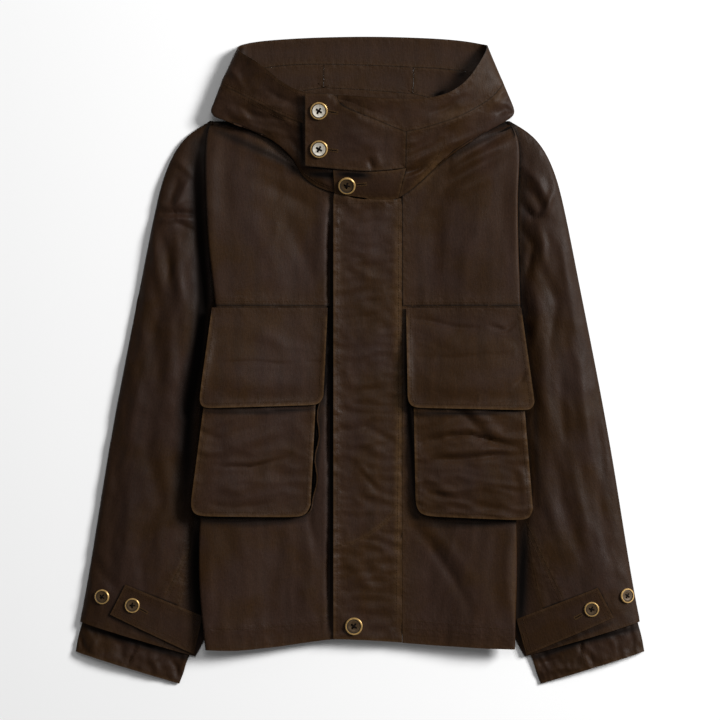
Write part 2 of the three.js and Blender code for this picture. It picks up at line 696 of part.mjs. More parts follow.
// Rings at even steps through the rows of a table
function evenRings(rows, steps) {
  const columns = Object.keys(rows[0]);
  const curves = columns.map((column) =>
    new THREE.CatmullRomCurve3(rows.map((row, i) => new THREE.Vector3(i, row[column], 0)))
  );
  const rings = [];
  for (let i = 0; i <= steps; i += 1) {
    const ring = {};
    columns.forEach((column, c) => {
      ring[column] = curves[c].getPoint(i / steps).y;
    });
    rings.push(ring);
  }
  return rings;
}

function sleeveSurface(side) {
  const rings = evenRings(sleeveRings, 18);
  const grid = rings.map((ring, i) => {
    const free = smooth((i - 1) / 3) * smooth((rings.length - 1 - i) / 2);
    const rise = (x, y) => free * foldHeight(sleeveFolds, x, y);
    return ringPoints(side, ring, rise, (x, y) => valleyShare(side, x, y));
  });
  return makeSurface(grid.reverse(), true);
}

function cuffSurface(side) {
  const grid = cuffRings.map((ring) => ringPoints(side, ring, () => 0));
  return makeSurface(grid.reverse(), true);
}

function cuffTabSurface(tab, sleeve) {
  const along = [0, 0.14, 0.28, 0.42, 0.56, 0.7, 0.84, 0.94, 1];
  const across = [0, 0.33, 0.67, 1];
  const grid = across.map((b) => {
    const row = along.map((a) => {
      const topX = lerp(tab.endTop[0], tab.foldTop[0], a);
      const topY = lerp(tab.endTop[1], tab.foldTop[1], a);
      const lowX = lerp(tab.endLow[0], tab.foldLow[0], a);
      const lowY = lerp(tab.endLow[1], tab.foldLow[1], a);
      const x = tab.side * lerp(lowX, topX, b);
      const y = lerp(lowY, topY, b);
      return new THREE.Vector3(x, y, heightOver(sleeve, x, y, 3) + layer);
    });
    return tab.side < 0 ? row : row.reverse();
  });
  return makeSurface(grid);
}

const sleeves = { right: sleeveSurface(-1), left: sleeveSurface(1) };
const cuffStraps = {};
for (const tab of cuffTabs) {
  const name = sideName(tab.side);
  cuffStraps[name] = cuffTabSurface(tab, sleeves[name]);
  const ring = sleeveSection.length;
  const seams = tab.side < 0 ? [ring - 1 - outerSeam, ring - 1 - frontSeam] : [frontSeam, outerSeam];
  const topSleeve = unroll(sleeves[name], seams[0], seams[1] - seams[0]);
  const underSleeve = unroll(sleeves[name], seams[1], ring - seams[1] + seams[0]);
  addMesh(`sleeve_${name}_top`, clothWall(stretch(topSleeve, {})), sleeveColour);
  addMesh(`sleeve_${name}_under`, clothWall(stretch(underSleeve, {})), sleeveColour);
  addMesh(`cuff_${name}`, clothWall(cuffSurface(tab.side)), sleeveColour);
  addMesh(`cuff_tab_${name}`, clothWall(cuffStraps[name]), sleeveColour);
}

// Hood
const hoodLevels = ["neck", "roll", "brim", "mouth"];
const levelSteps = [3, 3, 3];
const stationSteps = 2;

function hoodStation(row, level, share, front) {
  const [x, y] = row[level];
  const rise = hoodRise[level];
  const bow = Math.sin(Math.PI * clamp01(share)) ** 0.6;
  if (!front) {
    return new THREE.Vector3(x, y, 0);
  }
  if (level === "neck") {
    const z = y > shoulderY + 2 ? rise.tip : frontHeight(x, Math.min(y, topAt(x))) + layer;
    return new THREE.Vector3(x, y + seamGap, z);
  }
  return new THREE.Vector3(x, y, lerp(rise.tip, rise.front, bow));
}

// Points of the hood by level and station, right tip to left tip and round the back
function hoodSurface(front) {
  const coarse = hoodLevels.map((level) => {
    const last = front.length - 1;
    const ahead = front.map((row, i) => hoodStation(row, level, i / last, true));
    const behind = hoodBack.map((row) => hoodStation(row, level, 0, false));
    return new THREE.CatmullRomCurve3([...ahead, ...behind], true, "centripetal");
  });
  const count = (front.length + hoodBack.length) * stationSteps;
  const levels = coarse.map((curve) => {
    const points = [];
    for (let j = 0; j < count; j += 1) {
      points.push(curve.getPoint(j / count));
    }
    return points;
  });
  const grid = [];
  levels.slice(0, -1).forEach((level, i) => {
    for (let k = 0; k < levelSteps[i]; k += 1) {
      const share = k / levelSteps[i];
      const lift = i === 0 ? Math.sin((share * Math.PI) / 2) : share;
      grid.push(
        level.map((point, j) => {
          const next = levels[i + 1][j];
          return point.clone().lerp(next, share).setZ(lerp(point.z, next.z, lift));
        })
      );
    }
  });
  grid.push(levels[levels.length - 1]);
  for (const row of grid) {
    row.forEach((point, j) => {
      if (j < (front.length - 1) * stationSteps) {
        point.z += foldHeight(hoodFolds, point.x, point.y) * smooth((point.z - 22) / 6);
      }
      point.z = Math.max(0, point.z);
    });
  }
  return makeSurface(grid, true);
}

const hood = hoodSurface(hoodFront);
const lapFront = hoodFront.map((row, i) => ({ ...row, brim: lapBrim[i] ?? row.brim }));
const lapHood = hoodSurface(lapFront);
for (const row of lapHood.grid) {
  row.forEach((point, j) => {
    if (j < (hoodFront.length - 1) * stationSteps) {
      point.z += layer * smooth((placketSeamX - point.x) / 40) * smooth((point.x + 60) / 20);
    }
  });
}
lapHood.normals = facing(lapHood.grid, true);

const hoodColumns = hood.grid[0].length;
const station = (front) => front * stationSteps;
const backStation = (back) => (hoodFront.length + back) * stationSteps;
const brimRow = levelSteps[0] + levelSteps[1];
const mouthRow = brimRow + levelSteps[2];
const rollRow = levelSteps[0];
const underEnd = station(7);
const lapStart = station(6);
const seamStation = station(9);

// Wearer's right side, from the back seam round the right tip to under the lap
const rightFrom = backStation(4);
const rightCount = hoodColumns - rightFrom + underEnd;
addMesh(
  "hood_side_right",
  clothWall(stretch(unroll(hood, rightFrom, rightCount), { toRow: brimRow })),
  hoodColour
);

// Wearer's left side, from the tab's seam round the left tip to the back seam
const leftCount = backStation(2) - seamStation;
addMesh(
  "hood_side_left",
  clothWall(stretch(unroll(lapHood, seamStation, leftCount), { toRow: brimRow })),
  hoodColour
);

const backCount = backStation(4) - backStation(2);
addMesh(
  "hood_back",
  clothWall(stretch(unroll(hood, backStation(2), backCount), { toRow: brimRow })),
  hoodColour
);

// Brim band: over the lap, round the left tip and the back, and under the lap
function brimSurface() {
  const over = unroll(lapHood, lapStart, station(12) - lapStart);
  const rest = unroll(hood, station(12), hoodColumns - station(12) + underEnd);
  const join = (a, b) => a.map((row, i) => [...row, ...b[i].slice(1)]);
  const whole = { grid: join(over.grid, rest.grid), normals: join(over.normals, rest.normals) };
  return stretch(whole, { fromRow: brimRow, toRow: mouthRow });
}
const brim = brimSurface();
addMesh("hood_brim", clothWall(brim), hoodColour);

// Neck stand, between the neck seam and the tab
const stand = stretch(unroll(lapHood, lapStart, seamStation - lapStart), { toRow: rollRow });
addMesh("neck_stand", clothWall(stand), clothColour);

// Throat tab: its lower and upper edges, from the free end to its seam
const tabEdge = [
  { x: -71, low: 251, high: 344.5 },
  { x: -58, low: 250, high: 344 },
  { x: -44, low: 248.6, high: 343.6 },
  { x: -30.2, low: 247.2, high: 343.2 },
  { x: -29, low: 247, high: 329.4 },
  { x: -10, low: 245.4, high: 321.6 },
  { x: 9, low: 244.4, high: 314 },
  { x: 28, low: 245.2, high: 306.2 },
  { x: 45, low: 247, high: 299.6 },
  { x: 59, low: 249.4, high: 293.8 },
];
function tabSurface() {
  const shares = [0, 0.2, 0.4, 0.6, 0.8, 1];
  const grid = shares.map((share) =>
    tabEdge.map(({ x, low, high }) => {
      const y = lerp(low, high, share);
      const below = heightOver(lapHood, x, y, 0);
      const ramp = lerp(hoodRise.roll.front, hoodRise.mouth.front, clamp01((y - 250) / 90));
      const seat = Math.max(below, ramp + layer * smooth((placketSeamX - x) / 40));
      return new THREE.Vector3(x, y, seat + layer * smooth((placketSeamX - 4 - x) / 30));
    })
  );
  return makeSurface(grid);
}
const throatTab = tabSurface();
addMesh("throat_tab", clothWall(throatTab), hoodColour);

// Buttons: a disc with a raised rim and a dished middle
function buttonGeometry(wide) {
  const radius = wide / 2;
  const profile = [
    [0, 0],
    [radius * 0.86, 0],
    [radius, buttonThick * 0.3],
    [radius, buttonThick * 0.75],
    [radius * 0.9, buttonThick],
    [radius * 0.74, buttonThick * 0.85],
    [radius * 0.66, buttonThick * 0.6],
    [0, buttonThick * 0.5],
  ];
  const geometry = new THREE.LatheGeometry(
    profile.map(([r, h]) => new THREE.Vector2(r, h)),
    14
  );
  geometry.rotateX(Math.PI / 2);
  return geometry;
}

function addButton(name, surface, x, y, wide, color) {
  const reach = wide / 2;
  const height = (dx, dy) => heightOver(surface, x + dx, y + dy, heightOver(surface, x, y, 0));
  const slope = new THREE.Vector3(
    height(-reach, 0) - height(reach, 0),
    height(0, -reach) - height(0, reach),
    2 * reach
  ).normalize();
  let seat = height(0, 0);
  for (let i = 0; i < 8; i += 1) {
    const dx = reach * Math.cos((i * Math.PI) / 4);
    const dy = reach * Math.sin((i * Math.PI) / 4);
    seat = Math.max(seat, height(dx, dy) + (slope.x * dx + slope.y * dy) / slope.z);
  }
  const mesh = addMesh(name, buttonGeometry(wide), color, 0.38, 0.5);
  mesh.position.set(x, y, seat + 0.4);
  mesh.quaternion.setFromUnitVectors(new THREE.Vector3(0, 0, 1), slope);
}

const buttons = [
  { name: "throat_upper", on: throatTab, x: -53, y: 321, wide: bodyButtonWide, color: hornColour },
  { name: "throat_lower", on: throatTab, x: -53, y: 272.5, wide: bodyButtonWide, color: hornColour },
  { name: "neck", on: stand, x: -17, y: 226, wide: bodyButtonWide, color: brassColour },
  { name: "hem", on: placket, x: -8, y: -346, wide: bodyButtonWide, color: brassColour },
  { name: "tab_right", on: cuffStraps.right, x: -296, y: -319, wide: cuffButtonWide, color: brassColour },
  { name: "sleeve_right", on: sleeves.right, x: -335.5, y: -308, wide: cuffButtonWide, color: brassColour },
  { name: "tab_left", on: cuffStraps.left, x: 301, y: -324, wide: cuffButtonWide, color: brassColour },
  { name: "sleeve_left", on: sleeves.left, x: 348, y: -307, wide: cuffButtonWide, color: brassColour },
];
for (const { name, on, x, y, wide, color } of buttons) {
  addButton(`button_${name}`, on, x, y, wide, color);
}

export default group;
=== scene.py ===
# Waxed cotton jacket laid flat: cloth, sewing and buttons over the fixed frame
import math
import bmesh
import bpy
import numpy as np
from mathutils import Matrix, Vector, kdtree, noise
from mathutils.bvhtree import BVHTree


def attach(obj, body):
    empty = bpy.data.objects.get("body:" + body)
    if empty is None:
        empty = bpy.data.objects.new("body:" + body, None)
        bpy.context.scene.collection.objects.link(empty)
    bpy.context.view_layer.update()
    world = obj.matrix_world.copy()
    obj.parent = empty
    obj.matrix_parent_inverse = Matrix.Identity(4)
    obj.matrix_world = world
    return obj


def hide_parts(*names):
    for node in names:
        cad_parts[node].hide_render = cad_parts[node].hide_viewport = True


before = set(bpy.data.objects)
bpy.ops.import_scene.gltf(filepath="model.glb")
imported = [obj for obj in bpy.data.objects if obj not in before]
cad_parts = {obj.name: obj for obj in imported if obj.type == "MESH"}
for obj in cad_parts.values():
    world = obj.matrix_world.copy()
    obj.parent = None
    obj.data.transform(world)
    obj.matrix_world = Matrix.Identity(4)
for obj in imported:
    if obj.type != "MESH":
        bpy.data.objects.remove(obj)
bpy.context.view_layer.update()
mm = 0.001
scene = bpy.context.scene

# Camera straight above the jacket
cameraSet = {"lens": 120, "height": 3.14, "sensor": 36}
bpy.ops.object.select_all(action="DESELECT")
bpy.ops.object.camera_add(location=(0, 0, cameraSet["height"]), rotation=(0, 0, 0))
camera = bpy.context.object
camera.data.lens = cameraSet["lens"]
camera.data.sensor_width = cameraSet["sensor"]
scene.camera = camera
print("camera set")


def smoothStep(low, high, value):
    t = np.clip((value - low) / (high - low), 0, 1)
    return t * t * (3 - 2 * t)


def newObject(name, mesh):
    piece = bpy.data.objects.new(name, mesh)
    scene.collection.objects.link(piece)
    return piece


# selects these pieces alone, the first of them active
def choose(*pieces):
    bpy.ops.object.select_all(action="DESELECT")
    for piece in pieces:
        piece.select_set(True)
    bpy.context.view_layer.objects.active = pieces[0]


def applyModifiers(piece):
    choose(piece)
    for modifier in list(piece.modifiers):
        bpy.ops.object.modifier_apply(modifier=modifier.name)


def smoothShade(piece, angle=50):
    choose(piece)
    bpy.ops.object.shade_smooth_by_angle(angle=math.radians(angle))


def readPoints(mesh):
    points = np.empty(len(mesh.vertices) * 3)
    mesh.vertices.foreach_get("co", points)
    return points.reshape(-1, 3)


def readNormals(mesh):
    normals = np.empty(len(mesh.vertices) * 3)
    mesh.vertices.foreach_get("normal", normals)
    return normals.reshape(-1, 3)


def writePoints(mesh, points):
    mesh.vertices.foreach_set("co", points.reshape(-1))
    mesh.update()


def readEdges(mesh):
    ends = np.empty(len(mesh.edges) * 2, dtype=int)
    mesh.edges.foreach_get("vertices", ends)
    return ends.reshape(-1, 2)


def addAttribute(mesh, name, values):
    attribute = mesh.attributes.new(name, "FLOAT", "POINT")
    attribute.data.foreach_set("value", np.asarray(values, dtype=np.float32))


# rows with named columns, and the same with each row found by its first column
def table(columns, rows):
    return [dict(zip(columns.split(), row)) for row in rows]


def keyed(columns, rows):
    return {row[0]: dict(zip(columns.split()[1:], row[1:])) for row in rows}


# Creases: each row is one soft fold along its points, high above 0 for a ridge, all in mm
bodyCreases = table("wide high points", [
    (8, 0.8, [(-188, 300), (-193, 240), (-190, 130)]),
    (11, -0.8, [(-172, 288), (-176, 240), (-170, 170)]),
    (14, 1.0, [(-150, 195), (-122, 150), (-100, 90)]),
    (11, -1.2, [(-100, 190), (-72, 135), (-55, 92)]),
    (10, -1.1, [(-150, 240), (-95, 215), (-50, 190)]),
    (8, 1.0, [(-165, 282), (-120, 262), (-85, 248)]),
    (6, -1.2, [(-130, 290), (-105, 272), (-88, 262)]),
    (8, 0.8, [(-52, 205), (-50, 150), (-58, 100)]),
    (6, 1.0, [(208, 262), (203, 215), (202, 110)]),
    (9, -1.0, [(196, 272), (186, 235), (184, 150)]),
    (13, 1.0, [(168, 240), (150, 170), (130, 95)]),
    (12, -0.9, [(96, 215), (98, 150), (90, 90)]),
    (5, -2.2, [(128, 262), (155, 277), (195, 298)]),
    (6, 2.2, [(116, 242), (155, 264), (198, 286)]),
    (7, -2.6, [(108, 226), (146, 249), (188, 268)]),
    (8, 1.6, [(110, 212), (150, 230), (184, 244)]),
    (9, 1.0, [(-192, -215), (-196, -280), (-193, -350)]),
    (13, -1.2, [(-105, -215), (-118, -280), (-124, -345)]),
    (11, 1.1, [(-70, -225), (-62, -270), (-78, -335)]),
    (6, -1.3, [(-52, -180), (-66, -205), (-58, -250)]),
    (7, -1.5, [(62, -212), (88, -235), (122, -285), (146, -328)]),
    (9, 1.1, [(84, -212), (112, -240), (150, -290)]),
    (6, 1.2, [(196, -215), (190, -280), (198, -345)]),
    (9, -1.0, [(176, -215), (172, -280), (178, -335)]),
])

besidePlacket = table("wide high points", [
    (4, -3.2, [(-39, 214), (-40, 120), (-40, 20)]),
    (4, -3.2, [(-40, 40), (-40, -80), (-40, -190)]),
    (4, -3.2, [(-40, -170), (-40, -260), (-41, -350)]),
])

upperCreases = table("wide high points", [
    (4, 0.9, [(-196, 73), (-110, 72), (-36, 72)]),
    (4, 0.9, [(56, 72), (120, 72), (205, 71)]),
])

sleeveCreases = table("wide high points", [
    (6, 1.9, [(-241, 262), (-229, 252), (-218, 238)]),
    (6, -2.2, [(-236, 240), (-243, 220), (-248, 202)]),
    (5, 2.0, [(-222, 236), (-232, 216), (-242, 198)]),
    (4, 1.6, [(-264, 205), (-246, 197), (-220, 214)]),
    (4, -2.6, [(-262, 190), (-240, 192), (-214, 190)]),
    (3.6, 1.8, [(-262, 181), (-240, 184), (-216, 183)]),
    (4, -1.6, [(-240, 180), (-226, 172), (-214, 168)]),
    (7, 1.8, [(-269, 176), (-266, 130), (-258, 85)]),
    (6, -1.7, [(-254, 160), (-250, 130), (-247, 95)]),
    (8, 1.8, [(-238, 165), (-238, 120), (-232, 70)]),
    (9, -1.5, [(-285, 120), (-290, 60), (-300, 0)]),
    (9, -1.8, [(-262, 80), (-268, 20), (-262, -40)]),
    (9, 1.7, [(-244, 50), (-246, -20), (-250, -80)]),
    (10, 1.5, [(-290, 0), (-292, -60), (-304, -130)]),
    (11, -1.9, [(-272, -60), (-275, -120), (-262, -190)]),
    (9, -1.4, [(-318, -100), (-318, -170), (-332, -230)]),
    (10, 1.4, [(-300, -150), (-300, -210), (-312, -270)]),
    (9, 1.3, [(-250, -130), (-252, -190), (-268, -250)]),
    (7, -1.5, [(-348, -255), (-330, -285), (-312, -300)]),
    (8, -1.2, [(-275, -230), (-285, -265), (-282, -300)]),
    (6, 2.0, [(212, 255), (232, 232), (248, 200)]),
    (5, -2.8, [(211, 204), (226, 186), (248, 184)]),
    (5, 1.9, [(252, 222), (243, 196), (234, 182)]),
    (5, -1.6, [(216, 226), (228, 214), (236, 196)]),
    (6, -2.2, [(212, 172), (226, 148), (218, 108)]),
    (6, 1.9, [(232, 176), (240, 150), (236, 120)]),
    (8, -2.2, [(233, 128), (256, 76), (244, 8)]),
    (9, 1.6, [(262, 160), (272, 90), (284, 20)]),
    (7, 1.6, [(226, 92), (234, 60), (228, 20)]),
    (9, 1.6, [(238, 10), (240, -50), (250, -110)]),
    (9, -1.9, [(262, 0), (262, -60), (268, -120)]),
    (9, 1.7, [(284, 20), (290, -60), (300, -130)]),
    (8, -1.3, [(304, -40), (312, -110), (322, -170)]),
    (8, -1.6, [(252, -120), (262, -180), (284, -250)]),
    (9, 1.5, [(276, -120), (288, -190), (300, -260)]),
    (9, -1.4, [(306, -160), (318, -220), (330, -280)]),
    (7, 1.3, [(236, -150), (250, -200), (262, -240)]),
    (7, 1.2, [(330, -240), (316, -275), (300, -290)]),
])

pocketCreases = table("wide high points", [
    (7, 1.3, [(-208, -70), (-215, -120), (-219, -190)]),
    (7, 1.2, [(-212, -200), (-140, -204), (-74, -200)]),
    (7, 1.5, [(68, -80), (71, -130), (74, -190)]),
    (7, 1.2, [(82, -205), (150, -205), (218, -199)]),
    (3, -1.5, [(-184, -137), (-140, -138.5), (-93, -127)]),
    (5, 0.9, [(-184, -132), (-140, -133), (-96, -121)]),
    (9, 1.4, [(-181, -114), (-140, -106), (-98, -88)]),
    (5, -1.2, [(-212, -85), (-200, -96), (-180, -101)]),
    (5, 1.1, [(-214, -112), (-196, -120), (-176, -118)]),
    (9, 1.0, [(-188, -168), (-150, -164), (-112, -150)]),
    (5, -0.9, [(-200, -186), (-160, -190), (-100, -184)]),
    (4.5, -2.4, [(82, -106), (118, -99), (141, -96), (174, -106), (216, -116)]),
    (6, 1.7, [(84, -98), (120, -90), (150, -88), (196, -104)]),
    (4.5, -2.2, [(92, -129), (140, -128), (180, -122), (218, -126)]),
    (5, 1.5, [(92, -120), (140, -117), (190, -116)]),
    (5, -1.9, [(128, -64), (148, -84), (166, -98)]),
    (7, 1.6, [(142, -62), (166, -84), (186, -96)]),
    (7, 1.2, [(84, -150), (106, -166), (134, -180)]),
    (5, -1.1, [(82, -168), (110, -178), (150, -184)]),
    (6, 1.1, [(205, -138), (212, -160), (214, -188)]),
])

flapCreases = table("wide high points", [
    (7, 1.8, [(-192, 40), (-199, 0), (-208, -50)]),
    (8, 1.9, [(-204, -60), (-120, -61), (-50, -58)]),
    (6, 1.2, [(-43, 40), (-45, 0), (-48, -48)]),
    (7, 1.8, [(61, 40), (61, 0), (63, -52)]),
    (8, 1.9, [(66, -64), (140, -63), (222, -60)]),
    (2.6, -0.9, [(-184, -4), (-140, -2), (-104, -5), (-78, -3)]),
    (2.2, -0.9, [(-70, -3), (-58, -3), (-44, -3.5)]),
    (16, 1.4, [(-180, -26), (-130, -32), (-70, -26)]),
    (12, 1.0, [(-150, 44), (-110, 26), (-88, 4)]),
    (4, -0.9, [(68, 4), (120, 2), (170, 6), (208, 8)]),
    (4, -1.1, [(66, 54), (92, 50), (124, 42), (160, 40)]),
    (3.5, -1.4, [(168, 44), (188, 38), (204, 50)]),
    (10, 1.1, [(86, 36), (130, 16), (176, 26)]),
    (4, -1.2, [(198, -34), (208, -26), (214, -14)]),
    (14, 1.3, [(80, -34), (130, -36), (190, -30)]),
])

placketCreases = table("wide high points", [
    (7, 2.2, [(-34, 214), (-34.5, 120), (-34.5, 20)]),
    (7, 2.2, [(-34.5, 40), (-34.5, -80), (-34.5, -190)]),
    (7, 2.2, [(-34.5, -170), (-35, -260), (-36, -350)]),
    (8, -1.3, [(-28, 198), (-8, 186), (22, 196)]),
    (8, 1.0, [(-26, 176), (-8, 168), (10, 148)]),
    (9, 0.7, [(8, 178), (14, 140), (8, 105)]),
    (4, -0.9, [(-30, 52), (-10, 56), (8, 60)]),
    (5, 0.9, [(-28, 34), (4, 32), (26, 40)]),
    (4, -0.9, [(-30, 2), (-6, -4), (14, 2)]),
    (5, -1.0, [(-30, -36), (0, -42), (30, -38)]),
    (5, 1.1, [(-28, -80), (-4, -82), (18, -76)]),
    (4.5, -1.6, [(-29, -91), (10, -89), (46, -106)]),
    (6, 1.0, [(-28, -104), (6, -108), (30, -122)]),
    (4, 1.1, [(-4, -132), (10, -148), (24, -146)]),
    (4, -1.2, [(0, -146), (14, -160), (26, -172)]),
    (5, -0.9, [(-28, -170), (-4, -174), (20, -190)]),
    (8, 1.0, [(-26, -262), (-4, -270), (16, -300)]),
    (5, -0.9, [(-30, -296), (-12, -302), (8, -298)]),
])

hoodCreases = table("wide high points", [
    (4.5, -3.2, [(-6, 240), (20, 239.5), (52, 242), (74, 247), (90, 252)]),
    (6, 1.8, [(0, 252), (30, 251), (60, 255), (96, 268), (128, 284), (150, 296)]),
    (4, 1.4, [(48, 228), (76, 242), (96, 262)]),
    (5, 1.4, [(104, 300), (128, 312), (152, 322)]),
    (5, -1.4, [(88, 318), (112, 326), (130, 340)]),
    (4, 1.2, [(118, 374), (136, 384), (150, 380)]),
    (5, 1.5, [(160, 322), (176, 338), (184, 356)]),
    (4, -1.5, [(172, 318), (184, 326), (194, 322)]),
    (5, 1.4, [(-146, 336), (-122, 330), (-96, 328)]),
    (5, -1.6, [(-150, 322), (-126, 314), (-96, 312)]),
    (6, 1.5, [(-176, 330), (-160, 318), (-142, 312)]),
    (5, -1.1, [(-124, 352), (-104, 338), (-84, 332)]),
    (5, 1.2, [(-174, 384), (-160, 368), (-152, 352)]),
    (5, -1.4, [(-96, 292), (-84, 280), (-72, 262)]),
])

tabCreases = table("wide high points", [
    (3, -1.6, [(11, 262), (14, 254), (16, 246)]),
    (5, 1.0, [(20, 268), (24, 256), (28, 248)]),
    (2.2, -0.9, [(40, 330), (48, 326), (57, 321)]),
    (9, 0.8, [(-20, 300), (4, 282), (30, 274)]),
    (6, 0.7, [(-12, 332), (8, 326), (24, 330)]),
])

cuffCreases = table("wide high points", [
    (4, -1.8, [(-368, -352), (-362, -366), (-360, -380)]),
    (5, 1.5, [(-350, -352), (-346, -368), (-350, -384)]),
    (5, -1.5, [(-322, -362), (-312, -372), (-310, -392)]),
    (3, -1.6, [(-292, -368), (-297, -382), (-304, -400)]),
    (5, 1.5, [(-268, -378), (-270, -394), (-262, -410)]),
    (4, -1.5, [(-248, -388), (-240, -402), (-238, -414)]),
    (4, -1.6, [(232, -396), (248, -394), (266, -386)]),
    (4, 1.4, [(240, -408), (262, -402), (292, -402)]),
    (3, -1.6, [(290, -358), (288, -376), (286, -388)]),
    (4, -1.6, [(298, -382), (304, -394), (306, -404)]),
    (5, 1.3, [(320, -358), (330, -370), (334, -388)]),
    (4, -1.3, [(348, -352), (354, -362), (356, -380)]),
])

underCreases = table("wide high points", [
    (12, 1.4, [(-240, 150), (-252, 60), (-268, -40)]),
    (14, 1.5, [(-268, -30), (-280, -120), (-300, -220)]),
    (10, 1.1, [(-225, -60), (-232, -160), (-250, -240)]),
    (12, 1.4, [(240, 150), (252, 60), (268, -40)]),
    (14, 1.5, [(268, -30), (280, -120), (300, -220)]),
    (10, 1.1, [(225, -60), (232, -160), (250, -240)]),
    (16, 1.2, [(-60, 250), (-72, 120), (-60, 0)]),
    (18, 1.2, [(40, 200), (62, 60), (50, -80)]),
    (15, 1.1, [(-30, -60), (-44, -180), (-30, -300)]),
    (14, 1.0, [(96, -80), (84, -200), (98, -320)]),
])


# distance of every point from a line of stops in mm, and how far along the line it is from 0 to 1
def lineDistance(stops, points):
    stops = np.array(stops, dtype=float)
    plan = points[:, :2] / mm
    lengths = np.linalg.norm(np.diff(stops, axis=0), axis=1)
    ends = np.concatenate(([0], np.cumsum(lengths)))
    nearest = np.full(len(points), 1e9)
    share = np.zeros(len(points))
    for i, length in enumerate(lengths):
        step = (stops[i + 1] - stops[i]) / length
        run = np.clip((plan - stops[i]) @ step, 0, length)
        gap = np.linalg.norm(plan - stops[i] - run[:, None] * step, axis=1)
        closer = gap < nearest
        nearest[closer] = gap[closer]
        share[closer] = ((ends[i] + run) / ends[-1])[closer]
    return nearest, share


# a bell across a line that fades out towards both of the line's ends
def alongLine(row, points, fade, width=1):
    off, share = lineDistance(row["points"], points)
    taper = np.sin(np.pi * np.clip(share, 0.02, 0.98)) ** fade
    return taper * np.exp(-(off / (width * row["wide"])) ** 2)


def creaseHeight(rows, points, strength=1.0):
    height = np.zeros(len(points))
    for row in rows:
        height += row["high"] * alongLine(row, points, 0.6, clothSet["creaseWidth"])
    return height * strength * mm


# Cloth: one sheet taken from each solid, smoothed, creased and given its wall
wall = 1.6 * mm
clothSet = {"creases": 1.45, "creaseWidth": 0.9, "crumples": 0.75, "rubWidth": 2.6 * mm,
            "puckerWidth": 9 * mm, "seamWidth": 1.2 * mm, "hoodTip": 5.5 * mm, "aloft": 0.08, "below": -0.01}

# side is the face of the solid that the sheet is taken from, flat and area are the cut in metres
clothPieces = keyed("node side levels flat area creases restsOn", [
    ("back_panel", "down", 2, (0.385, 0.72), 0.2145, [], []),
    ("sleeve_right_under", "big", 3, (0.2, 0.7), 0.1087, [], []),
    ("sleeve_left_under", "big", 3, (0.2, 0.7), 0.1087, [], []),
    ("sleeve_right_top", "big", 3, (0.195, 0.7), 0.0812, [sleeveCreases], ["sleeve_right_under"]),
    ("sleeve_left_top", "big", 3, (0.195, 0.7), 0.0812, [sleeveCreases], ["sleeve_left_under"]),
    ("cuff_right", "big", 3, (0.31, 0.055), 0.015, [cuffCreases], []),
    ("cuff_left", "big", 3, (0.31, 0.055), 0.015, [cuffCreases], []),
    ("front_right_lower", "up", 3, (0.3, 0.45), 0.1205, [bodyCreases, besidePlacket], ["back_panel"]),
    ("front_left_lower", "up", 3, (0.24, 0.45), 0.097, [bodyCreases], ["back_panel"]),
    ("front_right_upper", "up", 3, (0.22, 0.245), 0.047, [bodyCreases, upperCreases, besidePlacket],
     ["back_panel"]),
    ("front_left_upper", "up", 3, (0.18, 0.245), 0.041, [bodyCreases, upperCreases], ["back_panel"]),
    ("placket", "up", 3, (0.09, 0.585), 0.0513, [bodyCreases, placketCreases],
     ["front_right_lower", "front_left_lower"]),
    ("neck_stand", "up", 3, (0.096, 0.042), 0.0032, [], ["hood_side_right"]),
    ("hood_back", "down", 3, (0.118, 0.039), 0.0037, [], []),
    ("hood_side_right", "big", 3, (0.22, 0.2), 0.0212, [hoodCreases], ["back_panel"]),
    ("hood_side_left", "big", 3, (0.2, 0.18), 0.0165, [hoodCreases], ["back_panel"]),
    ("hood_brim", "big", 3, (0.75, 0.06), 0.0298, [hoodCreases], ["hood_side_right", "hood_side_left"]),
    ("throat_tab", "up", 3, (0.132, 0.102), 0.0099, [tabCreases], ["hood_brim"]),
    ("gusset_right", "up", 2, (0.55, 0.0115), 0.0052, [bodyCreases], ["front_right_lower"]),
    ("gusset_left", "up", 2, (0.55, 0.0115), 0.0052, [bodyCreases], ["front_left_lower"]),
    ("pocket_right", "up", 3, (0.168, 0.24), 0.0347, [bodyCreases, pocketCreases], ["gusset_right"]),
    ("pocket_left", "up", 3, (0.16, 0.243), 0.0347, [bodyCreases, pocketCreases], ["gusset_left"]),
    ("flap_right", "up", 3, (0.168, 0.132), 0.0202, [bodyCreases, flapCreases], ["pocket_right"]),
    ("flap_left", "up", 3, (0.168, 0.135), 0.0206, [bodyCreases, flapCreases], ["pocket_left"]),
    ("cuff_tab_right", "up", 3, (0.126, 0.092), 0.0054, [], ["sleeve_right_top"]),
    ("cuff_tab_left", "up", 3, (0.127, 0.092), 0.0055, [], ["sleeve_left_top"]),
])


def faceWidth(face):
    return 2 * face.calc_area() / max(edge.calc_length() for edge in face.edges)


# the narrow faces round a wall's edge, between its outer and inner sheets
def rimFaces(bm):
    tree = kdtree.KDTree(len(bm.faces))
    centres = [face.calc_center_median() for face in bm.faces]
    for i, centre in enumerate(centres):
        tree.insert(centre, i)
    tree.balance()
    rim = set()
    for i, face in enumerate(bm.faces):
        shortEdge = min(face.edges, key=lambda edge: edge.calc_length())
        length = shortEdge.calc_length()
        along = (shortEdge.verts[1].co - shortEdge.verts[0].co).normalized()
        faced = all(max(abs(other.normal.dot(along)) for other in vert.link_faces) > 0.9
                    for vert in shortEdge.verts)
        if faced and abs(length - wall) < 0.12 * mm:
            rim.add(face)
            continue
        if not 1.2 * mm < faceWidth(face) < 1.9 * mm:
            continue
        behind = tree.find_range(centres[i] - face.normal * wall, 0.9 * mm)
        if not any(bm.faces[j].normal.dot(face.normal) < -0.6 for _, j, _ in behind):
            rim.add(face)
    return rim


